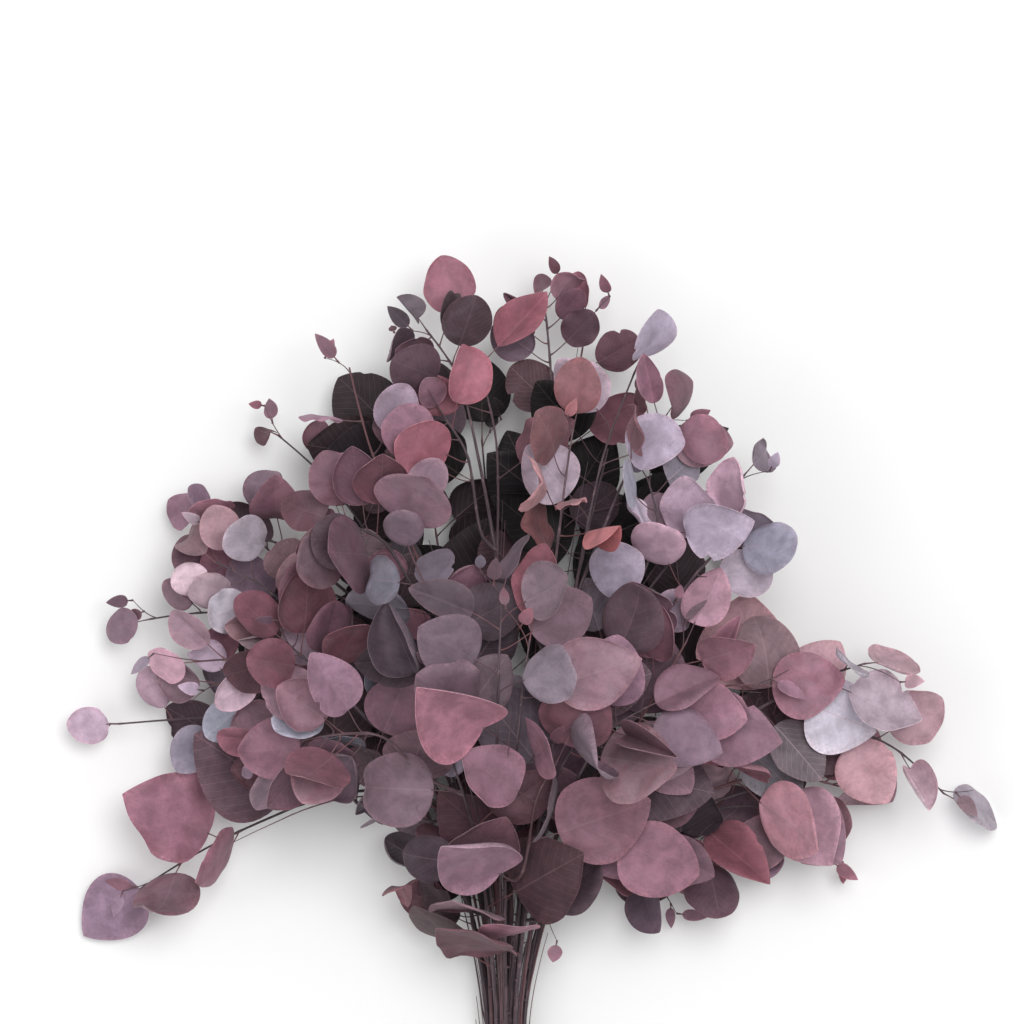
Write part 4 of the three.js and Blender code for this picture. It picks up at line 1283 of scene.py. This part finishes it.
def young_leaf(root, way, side, length):
    along = unit(way + side * 0.9 + UP * rng.normal(0, 0.25))
    face = unit(UP + side * rng.normal(0, 0.5) - along * 0.1)
    face = unit(face - (face @ along) * along)
    base = root + along * length * 0.25
    width = length * rng.uniform(*YOUNG_WIDTHS)
    return {"base": base, "along": along, "across": np.cross(face, along), "face": face,
            "length": length, "width": width, "dish": YOUNG_DISH * length, "foot": base,
            "root": root, "habit": dict(calm_habit(), pointed=YOUNG_POINT, fold=rng.uniform(0.1, 0.5))}


def young_twig(tube, forward, side):
    """The line and the radii of a hair-thin twig that goes on from the end of a tube."""
    length = rng.uniform(*TIP_LENGTHS) * MM
    t = np.linspace(0, 1, TIP_STATIONS)
    bow = side * (length * (0.35 * t + 0.45 * t ** 2))[:, None]
    line = tube["path"][-2] + forward * (length * t)[:, None] + bow
    return line, np.linspace(tube["radii"][-1] * 0.8, HAIR_RADIUS, TIP_STATIONS)


def add_young_tip(builder, tube):
    """Adds the twig at the end of a tube and returns its young leaves."""
    forward = unit(tube["path"][-1] - tube["path"][-3])
    side = unit(sideways(forward) * [1, 1, 0.5] + UP * 0.15)
    line, radii = young_twig(tube, forward, side)
    if not is_in_the_open(line[TIP_BURIED:], radii[TIP_BURIED:]):
        return []
    add_tube(builder, line, radii, TWIG_SIDES, paler(random_tint()))
    leaves = []
    for n, place in enumerate(YOUNG_PLACES):
        turn = unit(np.cross(side, forward)) * (1 if n % 2 else -1)
        length = rng.uniform(*YOUNG_LENGTHS) * MM * (1 - 0.2 * n)
        leaf = young_leaf(line[place], forward, turn, length)
        tree = coarse_tree(leaf, leaf["habit"])
        if tree["low"][2] > FLOOR_GAP and is_free(tree, trees):
            trees.append(tree)
            leaves.append(leaf)
    return leaves


# %% [markdown]
# No two leaves took the dye alike. A tint gives each its own bloom, lightness and warmth.
# Leaves deep inside the bunch also get painted shade: the deeper a leaf lies, the darker its
# dye and the thinner its bloom. How far a leaf lies below the highest one near it says how
# deep it is.

# %% Tints, with painted shade
SHADE_REACH = 45 * MM
NO_SHADE, FULL_SHADE = 20 * MM, 120 * MM
PAINTED_SHADE_DARKENING = 0.85


def middle_of(leaf):
    return leaf["base"] + leaf["along"] * leaf["length"] / 2


leaf_middles = np.array([middle_of(leaf) for leaf in all_leaves])


def painted_leaf_shade(leaf):
    """Painted shade of a leaf, from 0 to 1, by how deep it lies below other leaves."""
    middle = middle_of(leaf)
    near = np.linalg.norm(leaf_middles[:, :2] - middle[:2], axis=1) < SHADE_REACH
    depth = leaf_middles[near, 2].max() - middle[2]
    return float(np.clip((depth - NO_SHADE) / (FULL_SHADE - NO_SHADE), 0, 1))


def random_tint(shade=0.0):
    """Bloom, lightness of the dye and warmth, from 0 to 1; shade darkens the dye and thins the bloom as
    painted shade.
    """
    # painted shade: a leaf deep in the bunch gets less bloom and a darker dye
    bloom = rng.beta(1.4, 2.2) * (1 - shade)
    paleness_and_shade = np.clip(rng.normal(0.64, 0.20) - PAINTED_SHADE_DARKENING * shade, 0, 0.92)
    warmth = np.clip(rng.normal(0.5, 0.3), 0, 1)
    return (bloom, paleness_and_shade, warmth, 1.0)


def paler(tint):
    """Young wood has a thinner bark, and shows more of its bloom."""
    bloom, paleness_and_shade, warmth, opacity = tint
    return (0.45 + 0.55 * bloom, paleness_and_shade, warmth, opacity)


# %% [markdown]
# Now each branch grows: first its wood, as one piece, and then one piece of leaves for its stem
# and one for each shoot, in their own tones. Together they take the place of the branch's one
# CAD solid. The order is fixed, because every piece draws from the same random numbers.

# %% Grow each branch: its wood, then the leaves of its stem and of each shoot
def add_piece(builder, name, materials, node, sharp):
    piece = builder.finish(name, materials, sharp)
    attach(piece, "root")
    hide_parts(node)


def grow_wood(name, node, tubes):
    builder = Builder()
    for n, tube in enumerate(tubes):
        knots = [leaf["root"] for leaf in tube["leaves"]]
        knots += [other["path"][0] for other in tubes[1:] if n == 0]
        radii = swollen(tube["path"], tube["radii"], knots)
        if n == 0:
            add_tube(builder, tube["path"], radii, STEM_SIDES, random_tint(), CUT_SLANT)
        else:
            add_tube(builder, tube["path"], radii, SHOOT_SIDES, paler(random_tint()))
        tube["young"] = add_young_tip(builder, tube)
    add_stubs(builder, tubes[0], random_tint())
    made = add_side_shoots(builder, tubes[0])
    add_piece(builder, f"{name}_stem", [stem_bark, cut_wood], node, sharp=50)
    return made


def grow_leaves(name, node, tubes):
    tones = (lead_slot[node].removeprefix("leaf_"), *SHOOT_TONES[name])
    for n, (tube, tone) in enumerate(zip(tubes, tones)):
        builder = Builder()
        # full leaves get painted shade by how deep they lie in the bunch; young tip leaves get none
        grown = [(leaf, painted_leaf_shade(leaf), FINE) for leaf in tube["leaves"]]
        grown += [(leaf, 0.0, SMALL) for leaf in tube["young"]]
        for leaf, shade, grain in grown:
            tint = random_tint(shade)
            add_leaf(builder, leaf, tint, grain)
            add_stalk(builder, leaf, tint)
        part = "lead" if n == 0 else f"shoot_{n}"
        materials = [*leaf_materials[tone], stalk_skin]
        add_piece(builder, f"{name}_{part}_leaves", materials, node, sharp=60)


shoot_total = young_total = 0
for node, branch in branches.items():
    name = node.removeprefix("branch_")
    shoot_total += grow_wood(name, node, branch["wood"])
    grow_leaves(name, node, branch["wood"])
    young_total += sum(len(tube["young"]) for tube in branch["wood"])
print("grew", len(all_leaves), "leaves,", young_total, "young leaves and", shoot_total, "side shoots")

# %% [markdown]
# The band is a plain rubber band of unbleached natural rubber, wound three times around the
# bundle. It is one closed strip: three turns side by side, and a short stretch that crosses
# back over them. Its line lies at an even distance around the six outermost stems, so it is
# round over each stem and straight between two of them.

# %% The middle line of the winding
BAND_TURNS = 3
STRIP_WIDTH, STRIP_THICKNESS = 1.75 * MM, 1.15 * MM
BAND_GAP = 0.4 * MM
BAND_SPREAD = 2.5 * MM
BAND_WOBBLE = 0.12 * MM
CROSSING = 0.4
CROSSING_PLACE = 0.12
CROSSING_LIFT = 1.25 * MM
LINE_POINTS = 720
TURN_STEPS = 120
band_centre = np.mean(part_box("elastic_band"), axis=0)


def stem_places():
    """Where each stem passes through the band, seen along the bundle."""
    places = []
    for branch in branches.values():
        centres = np.array([ring["centre"] for ring in branch["tubes"][0]])[:4]
        places.append([np.interp(band_centre[1], centres[:, 1], centres[:, k]) for k in (0, 2)])
    return np.array(places)


def line_around(centres, distance, count):
    """The closed line at a distance around some centres, as points an even step apart."""
    angles = np.linspace(0, 2 * np.pi, LINE_POINTS, endpoint=False)
    ways = np.stack([np.cos(angles), np.sin(angles)], axis=1)
    line = centres[np.argmax(ways @ centres.T, axis=1)] + ways * distance
    closed = np.vstack([line, line[:1]])
    marks = marks_along(closed)
    even = np.linspace(0, marks[-1], count, endpoint=False)
    return np.stack([np.interp(even, marks, closed[:, k]) for k in (0, 1)], axis=1)


def around_stems():
    """One turn around the bundle, as flat points and the way outward at each."""
    stem_radius = max(branch["tubes"][0][1]["radius"] for branch in branches.values())
    line = line_around(stem_places(), stem_radius + BAND_GAP + STRIP_THICKNESS / 2, TURN_STEPS)
    step = np.roll(line, -1, axis=0) - np.roll(line, 1, axis=0)
    outward = np.stack([step[:, 1], -step[:, 0]], axis=1)
    return line, outward / np.linalg.norm(outward, axis=1)[:, None]


# %% [markdown]
# The section of a rubber band is a flat strip with round corners. The strip is swept along
# the line as a closed tube. Where it crosses back it is lifted just enough to clear the turns
# below, as real rubber does when it is pulled over itself.

# %% Wind the strip along it
STRIP_SIDES = 12
STRIP_ROUNDNESS = 0.6
RUBBER_LENGTH = 8


def rounded(values):
    """Makes a circle's cosine or sine into that of a rectangle with round corners."""
    return np.sign(values) * np.abs(values) ** STRIP_ROUNDNESS


def closed_faces(count, sides):
    """Faces of a tube whose last ring joins its first."""
    faces = []
    for n in range(count):
        for k in range(sides):
            here, there = n * sides, (n + 1) % count * sides
            faces.append((here + k, here + (k + 1) % sides, there + (k + 1) % sides, there + k))
    return faces


def wind_band():
    line, outward = around_stems()
    turn = np.arange(BAND_TURNS * TURN_STEPS) / TURN_STEPS
    count = len(turn)
    back = np.clip((turn - (BAND_TURNS - CROSSING)) / CROSSING, 0, 1)
    forth = np.clip(turn / (BAND_TURNS - CROSSING), 0, 1)
    side = BAND_SPREAD * (2 * forth - 1) * (1 - 2 * (3 * back ** 2 - 2 * back ** 3))
    side = side + BAND_WOBBLE * np.sin(turn * 9.1)
    around = (np.arange(count) + int(CROSSING_PLACE * TURN_STEPS)) % TURN_STEPS
    lift = CROSSING_LIFT * np.sin(np.pi * back) ** 0.7
    flat = line[around] + outward[around] * lift[:, None]
    centre = np.stack([flat[:, 0], band_centre[1] + side, flat[:, 1]], axis=1)
    out = np.stack([outward[around, 0], np.zeros(count), outward[around, 1]], axis=1)
    along = np.roll(centre, -1, axis=0) - np.roll(centre, 1, axis=0)
    across = np.cross(along / np.linalg.norm(along, axis=1)[:, None], out)
    angles = np.arange(STRIP_SIDES) / STRIP_SIDES * 2 * np.pi
    thick = STRIP_THICKNESS / 2 * rounded(np.cos(angles))[:, None]
    wide = STRIP_WIDTH / 2 * rounded(np.sin(angles))[:, None]
    rings = centre[:, None] + out[:, None] * thick + across[:, None] * wide
    place = [np.repeat(turn * RUBBER_LENGTH, STRIP_SIDES), np.tile(np.cos(angles), count)]
    return rings.reshape(-1, 3), closed_faces(count, STRIP_SIDES), np.stack(place, axis=-1)


# %% [markdown]
# Natural rubber is honey-coloured, a little cloudy and dusty with the powder that keeps bands
# from sticking. Only this one piece has it, so its nodes need no group.

# %% Rubber, and the band's mesh
HONEY, PALE_HONEY, POWDER = (0.36, 0.21, 0.10), (0.50, 0.33, 0.18), (0.62, 0.54, 0.44)


def natural_rubber():
    material, tree, shader = principled("natural rubber")
    table = new_node(tree, "ShaderNodeTexCoord").outputs["Object"]
    cloudy = noise(tree, table, scale=260.0, detail=3.0, roughness=0.55)
    dusty = ramp(tree, noise(tree, table, scale=900.0, detail=4.0, roughness=0.65), 0.52, 0.72)
    colour = blend_colour(tree, cloudy, HONEY, PALE_HONEY)
    colour = blend_colour(tree, times(tree, dusty, 0.45), colour, POWDER)
    shader.inputs["Specular IOR Level"].default_value = 0.45
    finish_shader(tree, shader, colour, times_plus(tree, dusty, 0.3, 0.46),
                  noise(tree, table, scale=1500.0, detail=3.0), strength=0.25, distance=0.2 * MM)
    return material


band_builder = Builder()
band_points, band_faces, band_place = wind_band()
band_builder.add(band_points, band_faces, [0] * len(band_faces), band_place, (0.5, 0.5, 0.5, 1.0))
add_piece(band_builder, "rubber_band", [natural_rubber()], "elastic_band", sharp=75)
print("the band is", len(band_faces), "faces around", len(branches), "stems")

# %% [markdown]
# The bunch lies on a pale table under a large soft light, and the camera looks straight down on
# it, with the bare stems running out of view at the bottom. The large light keeps the shadows
# between the leaves soft, and a weaker one from the left opens them a little.

# %% Table and light
TABLE_REACH = 3.0
TABLE_WHITE = (0.9, 0.9, 0.9, 1)
TABLE_ROUGHNESS = 0.9
SKY_STRENGTH = 0.66
scene = bpy.context.scene
table_mesh = bpy.data.meshes.new("table_top")
table_corners = [(x * TABLE_REACH, y * TABLE_REACH, 0) for x, y in ((-1, -1), (1, -1), (1, 1), (-1, 1))]
table_mesh.from_pydata(table_corners, [], [(0, 1, 2, 3)])
table_top = bpy.data.objects.new("table_top", table_mesh)
scene.collection.objects.link(table_top)
pale, _, pale_shader = principled("pale table")
pale_shader.inputs["Base Color"].default_value = TABLE_WHITE
pale_shader.inputs["Roughness"].default_value = TABLE_ROUGHNESS
table_mesh.materials.append(pale)

scene.world = bpy.data.worlds.new("studio")
scene.world.use_nodes = True
sky = scene.world.node_tree.nodes["Background"]
sky.inputs["Color"].default_value = (1, 1, 1, 1)
sky.inputs["Strength"].default_value = SKY_STRENGTH


def soft_light(name, place, size, power):
    """A round, soft lamp that shines on the middle of the table."""
    light = bpy.data.lights.new(name, "AREA")
    light.shape = "DISK"
    light.size = size
    light.energy = power
    lamp = bpy.data.objects.new(name, light)
    lamp.location = place
    lamp.rotation_euler = (-Vector(place)).to_track_quat("-Z", "Y").to_euler()
    scene.collection.objects.link(lamp)


soft_light("key", place=(0.4, 0.7, 2.4), size=1.3, power=32)
soft_light("fill", place=(-1.4, -0.4, 1.8), size=1.6, power=8)
print("the table reaches", TABLE_REACH, "m each way, under two lamps and a pale sky")

# %% [markdown]
# The camera stands straight above, and its place is counted from the band, which is the one
# fixed point of the bundle. The width of the view sets the lens, and a long lens from well above
# keeps the leaves near the edge from leaning outward.

# %% Camera
VIEW_WIDTH = 0.645
VIEW_HEIGHT = 2.4
FOCUS_HEIGHT = 0.08
VIEW_FROM_BAND = (0.004, 0.340)
SENSOR_WIDTH = 36
camera_data = bpy.data.cameras.new("camera")
camera_data.sensor_width = SENSOR_WIDTH
camera_data.lens = SENSOR_WIDTH * VIEW_HEIGHT / VIEW_WIDTH
camera = bpy.data.objects.new("camera", camera_data)
camera.location = (band_centre[0] + VIEW_FROM_BAND[0], band_centre[1] + VIEW_FROM_BAND[1],
                   FOCUS_HEIGHT + VIEW_HEIGHT)
scene.collection.objects.link(camera)
scene.camera = camera
scene.view_settings.view_transform = "Standard"
print("lens", round(camera_data.lens, 1), "mm, camera at", [round(place, 3) for place in camera.location])
